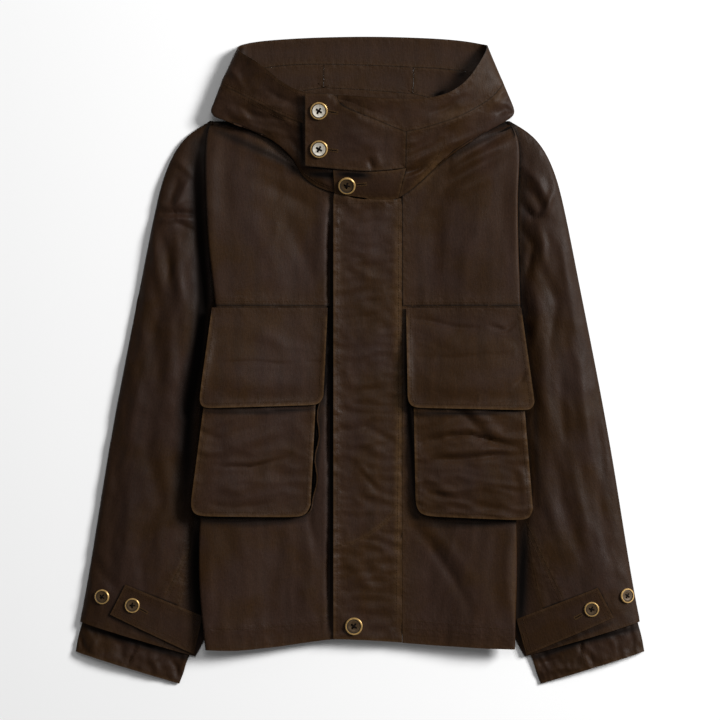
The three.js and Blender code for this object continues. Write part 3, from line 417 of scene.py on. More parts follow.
def crossesRim(edge, sharp):
    if len(edge.link_faces) != 2 or edge.calc_face_angle(0) < math.radians(sharp):
        return False
    return any(faceWidth(face) < 1.9 * mm for face in edge.link_faces)


def area(faces):
    return sum(face.calc_area() for face in faces)


def splitSheets(bm):
    rim = rimFaces(bm)
    for sharp in (75, 68, 60, 52, 44):
        left = set(bm.faces) - rim
        sheets = []
        while left:
            first = left.pop()
            sheet = [first]
            waiting = [first]
            while waiting:
                for edge in waiting.pop().edges:
                    if crossesRim(edge, sharp):
                        continue
                    for other in edge.link_faces:
                        if other in left:
                            left.discard(other)
                            sheet.append(other)
                            waiting.append(other)
            sheets.append(sheet)
        sheets.sort(key=lambda faces: -area(faces))
        if len(sheets) > 1 and area(sheets[1]) > 0.8 * area(sheets[0]):
            break
    print("  split at", sharp, "degrees,", [len(faces) for faces in sheets[:4]])
    return sheets[:2]


# single faces that stand out of a sheet's edge, by the point that they share
strayPoints = {"hood_side_left": [(102.3, 254.1, 24.3)]}


# gives a sheet back the narrow faces of its own folds and takes the stray ones off its edge
def mendSheet(node, bm, keep, inner):
    left = set(bm.faces) - keep - inner
    while left:
        first = left.pop()
        group = [first]
        waiting = [first]
        around = set()
        while waiting:
            for edge in waiting.pop().edges:
                for other in edge.link_faces:
                    if other in left:
                        left.discard(other)
                        group.append(other)
                        waiting.append(other)
                    elif other not in group:
                        around.add(other)
        if around <= keep:
            print("  fold of", len(group), "faces given back")
            keep.update(group)
    for place in strayPoints.get(node, []):
        for vert in bm.verts:
            if (vert.co / mm - Vector(place)).length < 0.6:
                for face in vert.link_faces:
                    outer = [edge for edge in face.edges
                             if not all(other in keep for other in edge.link_faces)]
                    if face in keep and len(outer) > 1:
                        keep.discard(face)


def outerSheet(node, side):
    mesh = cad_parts[node].data.copy()
    bm = bmesh.new()
    bm.from_mesh(mesh)
    bmesh.ops.remove_doubles(bm, verts=bm.verts, dist=0.02 * mm)
    bm.faces.ensure_lookup_table()
    sheets = splitSheets(bm)
    if side != "big":
        sign = 1 if side == "up" else -1
        sheets.sort(key=lambda faces: -sign * sum(face.normal.z * face.calc_area() for face in faces))
    keep = set(sheets[0])
    if node.startswith("hood_side"):
        mendSheet(node, bm, keep, set(sheets[1]))
    bmesh.ops.delete(bm, geom=[face for face in bm.faces if face not in keep], context="FACES")
    bmesh.ops.join_triangles(bm, faces=bm.faces, angle_face_threshold=math.radians(60),
                             angle_shape_threshold=math.radians(75), cmp_seam=False,
                             cmp_sharp=False, cmp_uvs=False, cmp_vcols=False, cmp_materials=False)
    bm.to_mesh(mesh)
    bm.free()
    for attribute in [a.name for a in mesh.attributes if a.name in ("sharp_edge", "custom_normal")]:
        mesh.attributes.remove(mesh.attributes[attribute])
    mesh.materials.clear()
    return mesh


# small random crumples: across and along are their sizes in mm, turned by turn degrees
crumples = keyed("node across along turn high", [
    ("placket", 36, 13, 0, 2.5),
    ("pocket_right", 40, 20, 8, 1.8),
    ("pocket_left", 38, 16, -8, 2.6),
    ("flap_right", 44, 26, 0, 0.8),
    ("flap_left", 44, 26, -6, 0.9),
    ("sleeve_right_top", 19, 40, -10, 1.5),
    ("sleeve_left_top", 19, 40, 10, 1.5),
    ("cuff_right", 12, 20, -16, 1.8),
    ("cuff_left", 12, 20, 16, 1.8),
    ("front_right_upper", 30, 46, -28, 1.0),
    ("front_left_upper", 46, 24, 32, 1.2),
    ("front_right_lower", 24, 60, 4, 1.1),
    ("front_left_lower", 24, 60, -14, 1.2),
    ("hood_side_right", 34, 15, -24, 1.9),
    ("hood_side_left", 34, 15, 26, 1.9),
    ("hood_brim", 26, 18, 20, 1.2),
    ("hood_back", 26, 18, 0, 0.9),
    ("throat_tab", 24, 20, -20, 0.8),
])


def crumpleHeight(node, points):
    facts = crumples.get(node)
    if not facts:
        return np.zeros(len(points))
    angle = math.radians(facts["turn"])
    x = (points[:, 0] * math.cos(angle) + points[:, 1] * math.sin(angle)) / (facts["across"] * mm)
    y = (points[:, 1] * math.cos(angle) - points[:, 0] * math.sin(angle)) / (facts["along"] * mm)
    heights = [0.55 - abs(noise.noise((a, b, 0.7))) * 1.7 + 0.4 * noise.noise((a * 2.1, b * 2.1, 4.1))
               for a, b in zip(x, y)]
    return np.array(heights) * facts["high"] * clothSet["crumples"]


# the gusset's foot spreads out past the pocket's inner side, in loose folds
def flareGusset(node, points):
    out = {"gusset_right": 10 * mm, "gusset_left": 4 * mm}.get(node)
    if out is None:
        return
    middle = points[:, 0].mean()
    low, high = points[:, 2].min(), points[:, 2].max()
    inner = smoothStep(0.02, 0.05, points[:, 0] - middle) * (1 - smoothStep(-0.02, 0.05, points[:, 1]))
    share = np.clip((high - points[:, 2]) / (high - low), 0, 1)
    points[:, 0] += out * share * inner * (1 + 0.3 * np.sin(points[:, 1] / (9 * mm)))


# the cuff's outer corner, spread until it follows the sleeve's edge
def spreadCuff(node, points):
    out = {"cuff_right": -2.6 * mm, "cuff_left": 2.6 * mm}.get(node)
    if out is None:
        return
    outer = smoothStep(0.32, 0.352, abs(points[:, 0]))
    points[:, 0] += out * outer * smoothStep(-0.385, -0.352, points[:, 1])


# each point's links and how many it has: points on a sheet's edge are linked along that edge alone
def sheetLinks(mesh):
    ends, rim = readEdges(mesh), boundaryOf(mesh)
    onRim = np.zeros(len(mesh.vertices), dtype=bool)
    onRim[np.unique(rim)] = True
    links = np.concatenate((ends, ends[:, ::-1]))
    links = np.concatenate((links[~onRim[links[:, 0]]], rim, rim[:, ::-1]))
    return links, np.bincount(links[:, 0], minlength=len(onRim))


def linkedMean(links, count, values):
    total = np.bincount(links[:, 0], values[links[:, 1]], len(values))
    return total / np.maximum(count, 1)


# evens out single points that stand off from the cloth round them
def easeSpikes(mesh, most=1.1 * mm, rounds=8):
    points = readPoints(mesh)
    links, count = sheetLinks(mesh)
    for _ in range(rounds):
        mean = linkedMean(links, count, points[:, 2])
        off = (abs(points[:, 2] - mean) > most) & (count > 1)
        points[off, 2] = mean[off]
    writePoints(mesh, points)


# places where a piece's corner is evened out in plan and height, in mm
smoothedPlaces = table("onto place reach", [
    ("cuff_right", (-365, -357), 11),
    ("cuff_left", (366, -357), 11),
    ("hood_side_left", (175, 304), 11),
])


def smoothPlace(mesh, place, reach, rounds=10):
    points = readPoints(mesh)
    links, count = sheetLinks(mesh)
    away = np.linalg.norm(points[:, :2] / mm - np.array(place), axis=1)
    share = 1 - smoothStep(0.5 * reach, reach, away)
    for _ in range(rounds):
        for axis in range(3):
            points[:, axis] += (linkedMean(links, count, points[:, axis]) - points[:, axis]) * share * 0.6
    writePoints(mesh, points)


# the hood's left tip, drawn out a little further over the shoulder
def reachHoodTip(node, points):
    if node.startswith("hood"):
        out = smoothStep(0.15, 0.188, points[:, 0]) * (1 - 0.6 * smoothStep(0.32, 0.37, points[:, 1]))
        points[:, 0] += clothSet["hoodTip"] * out


def shapeCloth(node, facts):
    piece = newObject(node + "Cloth", outerSheet(node, facts["side"]))
    subdivide = piece.modifiers.new("smoothing", "SUBSURF")
    subdivide.levels = facts["levels"]
    subdivide.render_levels = facts["levels"]
    subdivide.boundary_smooth = "PRESERVE_CORNERS"
    if node == "back_panel":
        subdivide.subdivision_type = "SIMPLE"
    applyModifiers(piece)
    mesh = piece.data
    points = readPoints(mesh)
    normals = readNormals(mesh)
    rise = creaseHeight([row for rows in facts["creases"] for row in rows], points, clothSet["creases"])
    rise += crumpleHeight(node, points) * mm
    facesUp = smoothStep(0.1, 0.6, normals[:, 2])
    facesDown = smoothStep(0.1, 0.6, -normals[:, 2])
    points[:, 2] += rise * facesUp + creaseHeight(underCreases, points) * facesDown
    flareGusset(node, points)
    spreadCuff(node, points)
    reachHoodTip(node, points)
    writePoints(mesh, points)
    return piece


def boundaryOf(mesh):
    loops = np.empty(len(mesh.loops), dtype=int)
    mesh.loops.foreach_get("edge_index", loops)
    return readEdges(mesh)[np.bincount(loops, minlength=len(mesh.edges)) == 1]


def boundaryLoops(edges):
    links = {}
    for a, b in edges:
        links.setdefault(a, []).append(b)
        links.setdefault(b, []).append(a)
    loops = []
    while links:
        loop = [next(iter(links))]
        while True:
            choices = [i for i in links.get(loop[-1], []) if i not in loop[-2:]]
            if not choices or choices == loop[:1]:
                break
            loop.append(choices[0])
            if len(loop) > len(links) + 2:
                break
        for i in loop:
            links.pop(i, None)
        loops.append(loop + loop[:1])
    return loops


def boundarySamples(mesh, spacing=1 * mm):
    points = readPoints(mesh)
    samples = []
    for a, b in boundaryOf(mesh):
        count = max(1, int(np.linalg.norm(points[b] - points[a]) / spacing))
        samples += [points[a] + (points[b] - points[a]) * k / count for k in range(count)]
    return np.array(samples)


def treeOf(points):
    tree = kdtree.KDTree(len(points))
    for i, point in enumerate(points):
        tree.insert(point, i)
    tree.balance()
    return tree


# moves the edges of two pieces that are sewn together until they nearly touch
def drawTogether(one, two, reach, firm=False, gap=0.3 * mm, soften=8 * mm):
    trees = [treeOf(boundarySamples(cloth[name].data)) for name in (one, two)]
    moves = []
    for name, tree in ((one, trees[1]), (two, trees[0])):
        if firm and name == two:
            continue
        points = readPoints(cloth[name].data)
        moved = {}
        for i in np.unique(boundaryOf(cloth[name].data)):
            near, _, away = tree.find(points[i])
            if gap < away < reach:
                moved[i] = (np.array(near) - points[i]) * (1 if firm else 0.5) * (1 - gap / away)
        moves.append((name, points, moved))
    for name, points, moved in moves:
        if not moved:
            continue
        keys = list(moved)
        edgeTree = treeOf([points[i] for i in keys])
        fixed = points.copy()
        for i, point in enumerate(points):
            _, k, away = edgeTree.find(point)
            if away < soften:
                fixed[i] = point + moved[keys[k]] * float(1 - smoothStep(0, soften, away))
        writePoints(cloth[name].data, fixed)


def sheetTree(name):
    mesh = cloth[name].data
    return BVHTree.FromPolygons([v.co for v in mesh.vertices], [p.vertices for p in mesh.polygons])


# lifts a piece where it would cut into the cloth it lies on
def seat(name, unders, gap=0.35 * mm):
    mesh = cloth[name].data
    points = readPoints(mesh)
    normals = readNormals(mesh)
    for under in unders:
        tree = sheetTree(under)
        for i in np.nonzero(normals[:, 2] > 0.3)[0]:
            start = Vector((points[i, 0], points[i, 1], clothSet["aloft"]))
            hit = tree.ray_cast(start, Vector((0, 0, -1)))[0]
            if hit is not None:
                points[i, 2] = max(points[i, 2], hit.z + wall + gap)
    writePoints(mesh, points)


# lowers a piece where it would cut into the cloth over it
def sink(name, overs, gap=0.4 * mm, most=2.5 * mm):
    mesh = cloth[name].data
    points = readPoints(mesh)
    normals = readNormals(mesh)
    for over in overs:
        tree = sheetTree(over)
        for i in np.nonzero(normals[:, 2] > 0.1)[0]:
            start = Vector((points[i, 0], points[i, 1], clothSet["below"]))
            hit, normal, _, _ = tree.ray_cast(start, Vector((0, 0, 1)))
            if hit is None:
                continue
            limit = hit.z - gap - (wall if normal.z > 0 else 0)
            if limit < points[i, 2] < limit + most:
                points[i, 2] = limit
    writePoints(mesh, points)


# how much of the open sky is hidden from each point by the cloth around it, from 0 to 1; the cloth's material
# paints it into the colour as shade
def hiddenShare(nodes, reach=30 * mm):
    points, faces = [], []
    for name in clothPieces:
        faces += [[i + len(points) for i in face.vertices] for face in cloth[name].data.polygons]
        points += [vertex.co.copy() for vertex in cloth[name].data.vertices]
    tree = BVHTree.FromPolygons(points, faces)
    directions = []
    # rings of rays: how many, how steep and where the first one points, in degrees
    for count, lift, start in ((7, 22, 10), (5, 45, 30), (3, 68, 0)):
        for k in range(count):
            turn = math.radians(start + 360 * k / count)
            directions.append(Vector((math.cos(turn) * math.cos(math.radians(lift)),
                                      math.sin(turn) * math.cos(math.radians(lift)),
                                      math.sin(math.radians(lift)))))
    hidden = {}
    for name in nodes:
        mesh = cloth[name].data
        share = np.zeros(len(mesh.vertices))
        for i, vertex in enumerate(mesh.vertices):
            outward = vertex.normal if vertex.normal.z > 0 else -vertex.normal
            start = vertex.co + outward * 0.8 * mm
            blocked = sum(1 for way in directions if tree.ray_cast(start, way, reach)[0] is not None)
            share[i] = blocked / len(directions)
        hidden[name] = share
    return hidden


# gives each point the values that the cloth's material reads
def markCloth(node, mesh, points):
    tree = treeOf(boundarySamples(mesh))
    edge = np.array([tree.find(point)[2] for point in points])
    rub = edgeRub.get(node, 0.16) * np.exp(-(edge / clothSet["rubWidth"]) ** 2)
    if node in rubBelow:
        rub *= 1 - smoothStep(rubBelow[node] - 8, rubBelow[node], points[:, 1] / mm)
    for row in rubbedLines:
        rub = np.maximum(rub, row["strong"] * alongLine(row, points, 0.4))
    pucker = np.exp(-(edge / clothSet["puckerWidth"]) ** 2)
    for row in stitchLines:
        if row["onto"] == node:
            off = lineDistance(row["points"], points)[0] * mm
            pucker = np.maximum(pucker, np.exp(-(off / clothSet["puckerWidth"]) ** 2))
    # painted shade: a thin dark line along the seams, and dark bands in the gaps beside lifted edges
    gap = paintedSeamShade.get(node, 0) * np.exp(-(edge / clothSet["seamWidth"]) ** 2)
    for row in paintedGapShadows:
        if node.startswith(row["onto"]):
            gap = np.maximum(gap, row["strong"] * alongLine(row, points, 0.25))
    addAttribute(mesh, "edgeDistance", edge)
    addAttribute(mesh, "rubbed", rub)
    addAttribute(mesh, "pucker", pucker)
    # painted shade: the share of hidden sky, which darkens the colour in folds and under lifted pieces
    addAttribute(mesh, "paintedOcclusionShade", hidden.get(node, np.zeros(len(points))))
    addAttribute(mesh, "paintedGapShade", gap)


def finishCloth(node, material):
    piece = cloth[node]
    mesh = piece.data
    points = readPoints(mesh)
    markCloth(node, mesh, points)
    trees[node] = sheetTree(node)
    edgeLoops[node] = (points, boundaryLoops(boundaryOf(mesh)))
    thicken = piece.modifiers.new("wall", "SOLIDIFY")
    thicken.thickness = wall
    thicken.offset = -1
    # an even wall would stick out at the tight folds of the hood's sides
    thicken.use_even_offset = not node.startswith("hood_side")
    applyModifiers(piece)
    smoothShade(piece)
    mesh.materials.append(material)
    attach(piece, "root")
    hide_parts(node)


# how far a piece's own edges are rubbed pale, where that is more than a trace
edgeRub = {"flap_right": 0.95, "flap_left": 0.95, "pocket_right": 0.85, "pocket_left": 0.85, "placket": 0.5,
           "cuff_tab_right": 0.3, "cuff_tab_left": 0.3, "throat_tab": 0.35, "neck_stand": 0.5,
           "hood_side_left": 0.32, "hood_side_right": 0.26, "hood_brim": 0.24, "cuff_right": 0.35,
           "cuff_left": 0.35}

# painted shadow in the narrow gaps beside lifted edges, where the shade is darkest
paintedGapShadows = table("onto wide strong points", [
    ("front_right", 4.6, 1, [(-36.5, 214), (-37, 60), (-37, -190), (-38, -356)]),
    ("front_left", 5, 0.9, [(59.5, 62), (60, -10), (63, -60), (68, -120), (73, -204)]),
    ("front_right", 4, 0.7, [(-50, -66), (-57, -130), (-63, -200)]),
    ("front", 5, 0.8, [(-216, -209), (-140, -211), (-72, -207)]),
    ("front", 5, 0.8, [(78, -213), (150, -213), (222, -206)]),
    ("front_right", 4, 0.6, [(-41, 62), (-43, 0), (-46, -56)]),
    ("front_right", 6, 0.75, [(-195, 303), (-168, 290), (-140, 277), (-110, 264), (-86, 250), (-62, 230)]),
    ("front_left", 5, 0.6, [(112, 260), (140, 277), (175, 295), (200, 306)]),
    ("pocket_right", 3.5, 0.85, [(-212, -66), (-120, -67), (-46, -62)]),
    ("pocket_left", 3.5, 0.85, [(60, -70), (140, -69), (226, -65)]),
    ("gusset", 3, 0.6, [(-61, -66), (-66, -200)]),
    ("hood_side_right", 4, 0.85, [(-76, 342), (-76, 300), (-74, 248)]),
    ("hood_side_right", 6, 1, [(-70, 242), (-40, 240), (-10, 240)]),
    ("neck_stand", 5.5, 1, [(-30, 241), (0, 239.5), (12, 239)]),
    ("sleeve_right", 12, 1, [(-212, 282), (-210, 200), (-204, 80), (-212, 0), (-224, -70), (-228, -200)]),
    ("sleeve_right", 13, 1, [(-214, -205), (-212, -280), (-208, -370)]),
    ("sleeve_left", 4.5, 0.6, [(214, 236), (212, 140), (214, 40), (228, -50), (232, -190)]),
    ("sleeve_left", 9, 0.95, [(216, -205), (212, -280), (208, -370)]),
    ("sleeve_right", 3.5, 0.6, [(-306, -294), (-326, -333), (-270, -362), (-217, -388)]),
    ("sleeve_left", 3.5, 0.6, [(332, -340), (270, -364), (217, -389)]),
    ("cuff_right", 5.5, 0.95, [(-366, -346), (-292, -368), (-214, -392)]),
    ("cuff_left", 5.5, 0.95, [(369, -347), (290, -366), (214, -393)]),
    ("sleeve_right_top", 1.6, 0.5, [(-214, -232), (-222, -245), (-252, -307)]),
    ("sleeve_left_top", 1.6, 0.5, [(213, -205), (237, -258), (263, -310)]),
    ("hood", 4, 0.9, [(96, 345), (104, 348), (112, 352)]),
    ("hood", 6, 0.6, [(128, 372), (140, 376)]),
])

# pieces whose seams get a thin line of painted shade, for the shadow in the seam, and those whose rubbing stops
# at a height
paintedSeamShade = {"hood_side_left": 0.5, "hood_side_right": 0.5, "hood_brim": 0.4, "hood_back": 0.4,
             "front_right_upper": 0.8, "front_left_upper": 0.8, "throat_tab": 0.6}
rubBelow = {"flap_right": 62, "flap_left": 62}

# rubbed, paler lines away from the pieces' own edges
rubbedLines = table("wide strong points", [
    (5.5, 0.85, [(50, 205), (51, 60), (51, -120), (49, -340)]),
    (2.5, 0.4, [(-29, -241), (-10, -238), (8, -229), (25, -217), (40, -203), (48, -188)]),
    (5, 0.3, [(206, 255), (205, 200), (205, 90)]),
    (5, 0.15, [(-196, 240), (-192, 160), (-186, 90)]),
    (3, 0.35, [(203, -215), (199, -280), (201, -345)]),
    (6, 0.65, [(70, 222), (92, 246), (104, 266)]),
    (7, 0.35, [(160, 324), (178, 340), (186, 356)]),
    (7, 0.3, [(100, 312), (124, 318), (150, 330)]),
    (8, 0.3, [(202, -20), (214, -40), (220, -56)]),
    (9, 0.25, [(-200, -84), (-206, -110), (-208, -150)]),
    (8, 0.12, [(-120, 372), (-60, 380), (20, 382)]),
    (2.6, 0.4, [(-215, -233), (-223, -247), (-254, -310)]),
    (2.8, 0.4, [(214, -204), (238, -259), (265, -312)]),
])

# sewing rows, in mm: onto is the piece that carries the row
stitchLines = table("onto points pitch", [
    ("front_right_upper", [(-186, 76.5), (-110, 75.6), (-38, 75.4)]),
    ("front_left_upper", [(59, 75.4), (130, 75), (205, 74)]),
    ("placket", [(50, 204), (50.4, 60), (50, -120), (47, -356)]),
    ("placket", [(-29.5, 204), (-29.5, 0), (-29.5, -356)]),
    ("placket", [(-29, 203.5), (10, 204), (50, 205.5)]),
    ("placket", [(-29, -241), (-10, -238), (8, -229), (25, -217), (40, -203), (48, -188)]),
    ("placket", [(-32, -241), (-24, -241)], 1.1),
    ("placket", [(-32, 199), (-24, 199)], 1.1),
    ("hood_side_right", [(-80, 252), (-72, 242), (-55, 230), (-38, 223)]),
    ("hood_side_left", [(56, 219), (80, 240), (99, 261), (111, 283)]),
    ("hood_side_left", [(62, 254), (63.5, 274), (63.8, 292)]),
    ("hood_side_left", [(66, 294), (98, 300.5), (130, 312), (158, 328)]),
    ("hood_side_right", [(-156, 342), (-138, 331), (-112, 317), (-84, 305)]),
    ("front_right_lower", [(-198, -348.5), (-150, -350), (-100, -346), (-38, -339)]),
    ("front_left_lower", [(59, -338), (120, -344), (200, -350.5)]),
    ("front_left_lower", [(59, -349), (120, -354), (200, -360)]),
    ("flap_right", [(-132, -43), (-132, -53)], 1.1),
    ("flap_left", [(153, -44), (153, -54)], 1.1),
    ("sleeve_right_top", [(-216, -235), (-224, -248), (-254, -309)]),
    ("sleeve_right_top", [(-216, -243), (-221, -252), (-249, -310)]),
    ("sleeve_left_top", [(216, -209), (239, -259), (265, -311)]),
    ("sleeve_left_top", [(215, -219), (235, -261), (260, -312)]),
    ("cuff_right", [(-286, -372), (-294, -386), (-304, -401)]),
    ("cuff_left", [(287, -370), (290, -384), (294, -398)]),
])

# rows that follow a piece's own edge at a set distance in, only where the limits hold
edgeStitches = [
    {"onto": "flap_right", "inset": 5.5, "yMax": 62},
    {"onto": "flap_left", "inset": 5.5, "yMax": 62},
    {"onto": "pocket_right", "inset": 5.5, "yMax": -58},
    {"onto": "pocket_left", "inset": 5.5, "yMax": -58},
    {"onto": "cuff_tab_right", "inset": 3.2, "xMax": -212},
    {"onto": "cuff_tab_right", "inset": 8.5, "xMax": -212},
    {"onto": "cuff_tab_left", "inset": 3.2, "xMin": 212},
    {"onto": "cuff_tab_left", "inset": 8.5, "xMin": 212},
    {"onto": "hood_brim", "inset": 4, "yMin": 295, "yMax": 372, "xMin": -190, "xMax": -74, "zMin": 20},
]

# which edges are drawn together, which pieces are lifted clear and which are pressed down
sewnEdges = table("one two reach firm", [
    ("throat_tab", "hood_brim", 5),
    ("throat_tab", "hood_side_left", 5),
    ("hood_brim", "hood_side_left", 4),
    ("hood_brim", "hood_side_right", 4),
    ("hood_back", "hood_side_right", 4),
    ("hood_back", "hood_side_left", 4),
    ("hood_back", "hood_brim", 4),
    ("hood_back", "back_panel", 7, True),
    ("hood_side_right", "back_panel", 7, True),
    ("hood_side_left", "back_panel", 7, True),
    ("neck_stand", "placket", 3),
    ("front_right_upper", "front_right_lower", 4),
    ("front_left_upper", "front_left_lower", 4),
    ("sleeve_right_top", "sleeve_right_under", 4),
    ("sleeve_left_top", "sleeve_left_under", 4),
])
seated = [
    ("placket", ["front_right_upper", "front_right_lower", "front_left_upper", "front_left_lower"]),
    ("hood_side_right", ["front_right_upper"]), ("hood_side_left", ["front_left_upper"]),
    ("neck_stand", ["hood_side_right", "front_right_upper"]),
    ("throat_tab", ["hood_side_right"]),
    ("pocket_right", ["front_right_lower"]), ("pocket_left", ["front_left_lower"]),
    ("flap_right", ["pocket_right", "front_right_lower"]), ("flap_left", ["pocket_left", "front_left_lower"]),
    ("cuff_tab_right", ["sleeve_right_top"]), ("cuff_tab_left", ["sleeve_left_top"]),
]
sunk = [
    ("front_right_upper", ["hood_side_right"]), ("front_left_upper", ["hood_side_left"]),
    ("sleeve_right_top", ["front_right_upper", "front_right_lower"]),
    ("sleeve_left_top", ["front_left_upper", "front_left_lower"]),
]


def newMaterial(name):
    material = bpy.data.materials.new(name)
    material.use_nodes = True
    return material, material.node_tree, material.node_tree.nodes["Principled BSDF"]


# fills a node's inputs: another node's output is linked and any other value is written
def fillNode(graph, node, inputs):
    for name, value in inputs.items():
        if isinstance(value, bpy.types.NodeSocket):
            graph.links.new(value, node.inputs[name])
        else:
            node.inputs[name].default_value = value


# adds a node and returns one of its outputs
def addNode(graph, kind, inputs, output=0, **settings):
    node = graph.nodes.new("ShaderNode" + kind)
    for name, value in settings.items():
        setattr(node, name, value)
    fillNode(graph, node, inputs)
    return node.outputs[output]


def rangeNode(graph, source, low, high, toLow, toHigh):
    return addNode(graph, "MapRange", {"Value": source, "From Min": low, "From Max": high,
                                       "To Min": toLow, "To Max": toHigh})


waxedLook = {
    "open": (0.0255, 0.0125, 0.0078, 1),
    "warm": (0.0245, 0.0106, 0.0032, 1),
    "rubbed": (0.064, 0.033, 0.012, 1),
    # the colour that painted shade darkens the cloth towards
    "paintedShade": (0.0012, 0.0006, 0.0004, 1),
    "specular": 0.1,
    "roughness": 0.5,
    "shade": 1.0,
    # how strong each bump is, and how high in metres
    "bumps": {"weave": (0.35, 0.0004), "slubs": (0.22, 0.001), "puckers": (0.4, 0.0026),
              "crumple": (0.2, 0.004)},
}
# painted shade: a copy of the cloth for the sleeves, darker all over
shadedSleeveLook = dict(waxedLook, shade=0.86)


def waxedCotton(name, look, turn=0):
    material, graph, shader = newMaterial(name)
    place = addNode(graph, "TexCoord", {}, "Object")
    turned = addNode(graph, "Mapping", {"Rotation": (0, 0, math.radians(turn)), "Vector": place})

    def marked(name):
        return addNode(graph, "Attribute", {}, "Fac", attribute_name=name)

    def grain(scale, stretch, detail):
        stretched = addNode(graph, "Mapping", {"Scale": stretch, "Vector": turned})
        return addNode(graph, "TexNoise", {"Scale": scale, "Detail": detail, "Vector": stretched}, "Fac")

    def ranged(source, low, high, toLow, toHigh):
        return rangeNode(graph, source, low, high, toLow, toHigh)

    def combined(one, two, kind="MULTIPLY"):
        return addNode(graph, "Math", {0: one, 1: two}, operation=kind)

    def mixed(factor, one, two):
        return addNode(graph, "Mix", {"Factor": factor, "A": one, "B": two}, "Result", data_type="RGBA")

    def shaded(colour, value):
        return addNode(graph, "HueSaturation", {"Value": value, "Color": colour})

    nearEdge = ranged(marked("edgeDistance"), 0.002, 0.03, 0.8, 0)
    patches = ranged(grain(13, (1, 1, 1), 6), 0.44, 0.6, 0, 1)
    ground = mixed(combined(patches, nearEdge, "MAXIMUM"), look["open"], look["warm"])
    flecked = shaded(ground, ranged(grain(620, (1, 0.5, 1), 2), 0.3, 0.7, 0.86, 1.14))
    # random streaks, scaled by the look's shade, which paints the sleeves darker as shade
    streaked = shaded(flecked, ranged(grain(75, (1, 0.1, 1), 6), 0.32, 0.68,
                                      0.86 * look["shade"], 1.14 * look["shade"]))
    rubbing = combined(marked("rubbed"), ranged(grain(160, (1, 1, 1), 4), 0.32, 0.6, 0.45, 1))
    # painted shade: the hidden-sky share and the painted gap and seam shadows darken the colour and roughen it
    paintedShade = combined(ranged(marked("paintedOcclusionShade"), 0.2, 0.56, 0, 0.94),
                    ranged(marked("paintedGapShade"), 0.08, 0.9, 0, 0.97), "MAXIMUM")
    polish = ranged(grain(30, (1, 1, 1), 4), 0.3, 0.7, look["roughness"] - 0.08, look["roughness"] + 0.08)
    heights = {
        "weave": combined(grain(1500, (1, 0.12, 1), 2), grain(1500, (0.12, 1, 1), 2), "ADD"),
        "slubs": grain(420, (1, 0.25, 1), 3),
        "puckers": combined(grain(130, (1, 1, 1), 2), marked("pucker")),
        "crumple": grain(38, (1, 0.7, 1), 3),
    }
    under = {}  # each bump stands on the one before
    for kind, (strength, distance) in look["bumps"].items():
        bump = addNode(graph, "Bump", {"Strength": strength, "Distance": distance,
                                       "Height": heights[kind], **under})
        under = {"Normal": bump}
    fillNode(graph, shader, {
        "Base Color": mixed(paintedShade, mixed(rubbing, streaked, look["rubbed"]), look["paintedShade"]),
        "Roughness": combined(polish, paintedShade, "MAXIMUM"),
        "Specular IOR Level": look["specular"],
        "Normal": bump,
    })
    return material


bodyCotton = waxedCotton("waxedCottonBody", waxedLook)
shadedRightSleeveCotton = waxedCotton("waxedCottonRightSleeve", shadedSleeveLook, 14)
shadedLeftSleeveCotton = waxedCotton("waxedCottonLeftSleeve", shadedSleeveLook, -14)
print("materials made")

cloth = {}
trees = {}
edgeLoops = {}
for node, facts in clothPieces.items():
    cloth[node] = shapeCloth(node, facts)
for name, overs in sunk:
    sink(name, overs)
for name, unders in seated:
    seat(name, unders)
for row in sewnEdges:
    drawTogether(row["one"], row["two"], row["reach"] * mm, row.get("firm", False))
print("cloth shaped")
for node in cloth:
    if node.startswith("hood") or node.startswith("front"):
        easeSpikes(cloth[node].data)
for row in smoothedPlaces:
    smoothPlace(cloth[row["onto"]].data, row["place"], row["reach"])
hidden = hiddenShare([name for name in clothPieces if not name.endswith("_under") and name != "back_panel"])
print("fold depths measured")
for node, facts in clothPieces.items():
    material = bodyCotton
    if node.startswith(("sleeve_right", "cuff_right", "cuff_tab_right")):
        material = shadedRightSleeveCotton
    if node.startswith(("sleeve_left", "cuff_left", "cuff_tab_left")):
        material = shadedLeftSleeveCotton
    finishCloth(node, material)
    print("cloth", node, len(cloth[node].data.polygons), "faces")


# Sewing: one stitch is modelled, then repeated along each row, sizes in mm
threadSet = {"long": 2.7, "longAcross": 2.2, "wide": 0.62, "high": 0.6, "pitch": 3.4, "holePitch": 0.8,
             "holeApart": 3, "bar": 4.4}
bpy.ops.object.select_all(action="DESELECT")
bpy.ops.mesh.primitive_uv_sphere_add(segments=4, ring_count=4, radius=0.5 * mm, rotation=(0, math.pi / 2, 0))
stitchShape = bpy.context.object
bpy.ops.object.transform_apply(location=False, rotation=True, scale=False)
bpy.ops.object.mode_set(mode="EDIT")
bpy.ops.mesh.select_all(action="SELECT")
bpy.ops.transform.resize(value=(1, threadSet["wide"], threadSet["high"]))
bpy.ops.object.mode_set(mode="OBJECT")
stitchPoints = readPoints(stitchShape.data)
stitchFaces = [list(face.vertices) for face in stitchShape.data.polygons]
bpy.data.objects.remove(stitchShape)


def plainMaterial(name, look):
    material, graph, shader = newMaterial(name)
    place = addNode(graph, "TexCoord", {}, "Object")
    grain = addNode(graph, "TexNoise", {"Scale": look["grain"], "Detail": 4, "Vector": place}, "Fac")
    shade = rangeNode(graph, grain, 0.3, 0.7, 0.75, 1.2)
    fillNode(graph, shader, {
        "Base Color": addNode(graph, "HueSaturation", {"Color": look["colour"], "Value": shade}),
        "Roughness": rangeNode(graph, grain, 0, 1, look["roughness"] - 0.1, look["roughness"] + 0.1),
        "Metallic": look["metallic"],
        "Specular IOR Level": look["specular"],
        "Normal": addNode(graph, "Bump", {"Strength": 0.2, "Distance": 0.0002, "Height": grain}),
    })
    return material


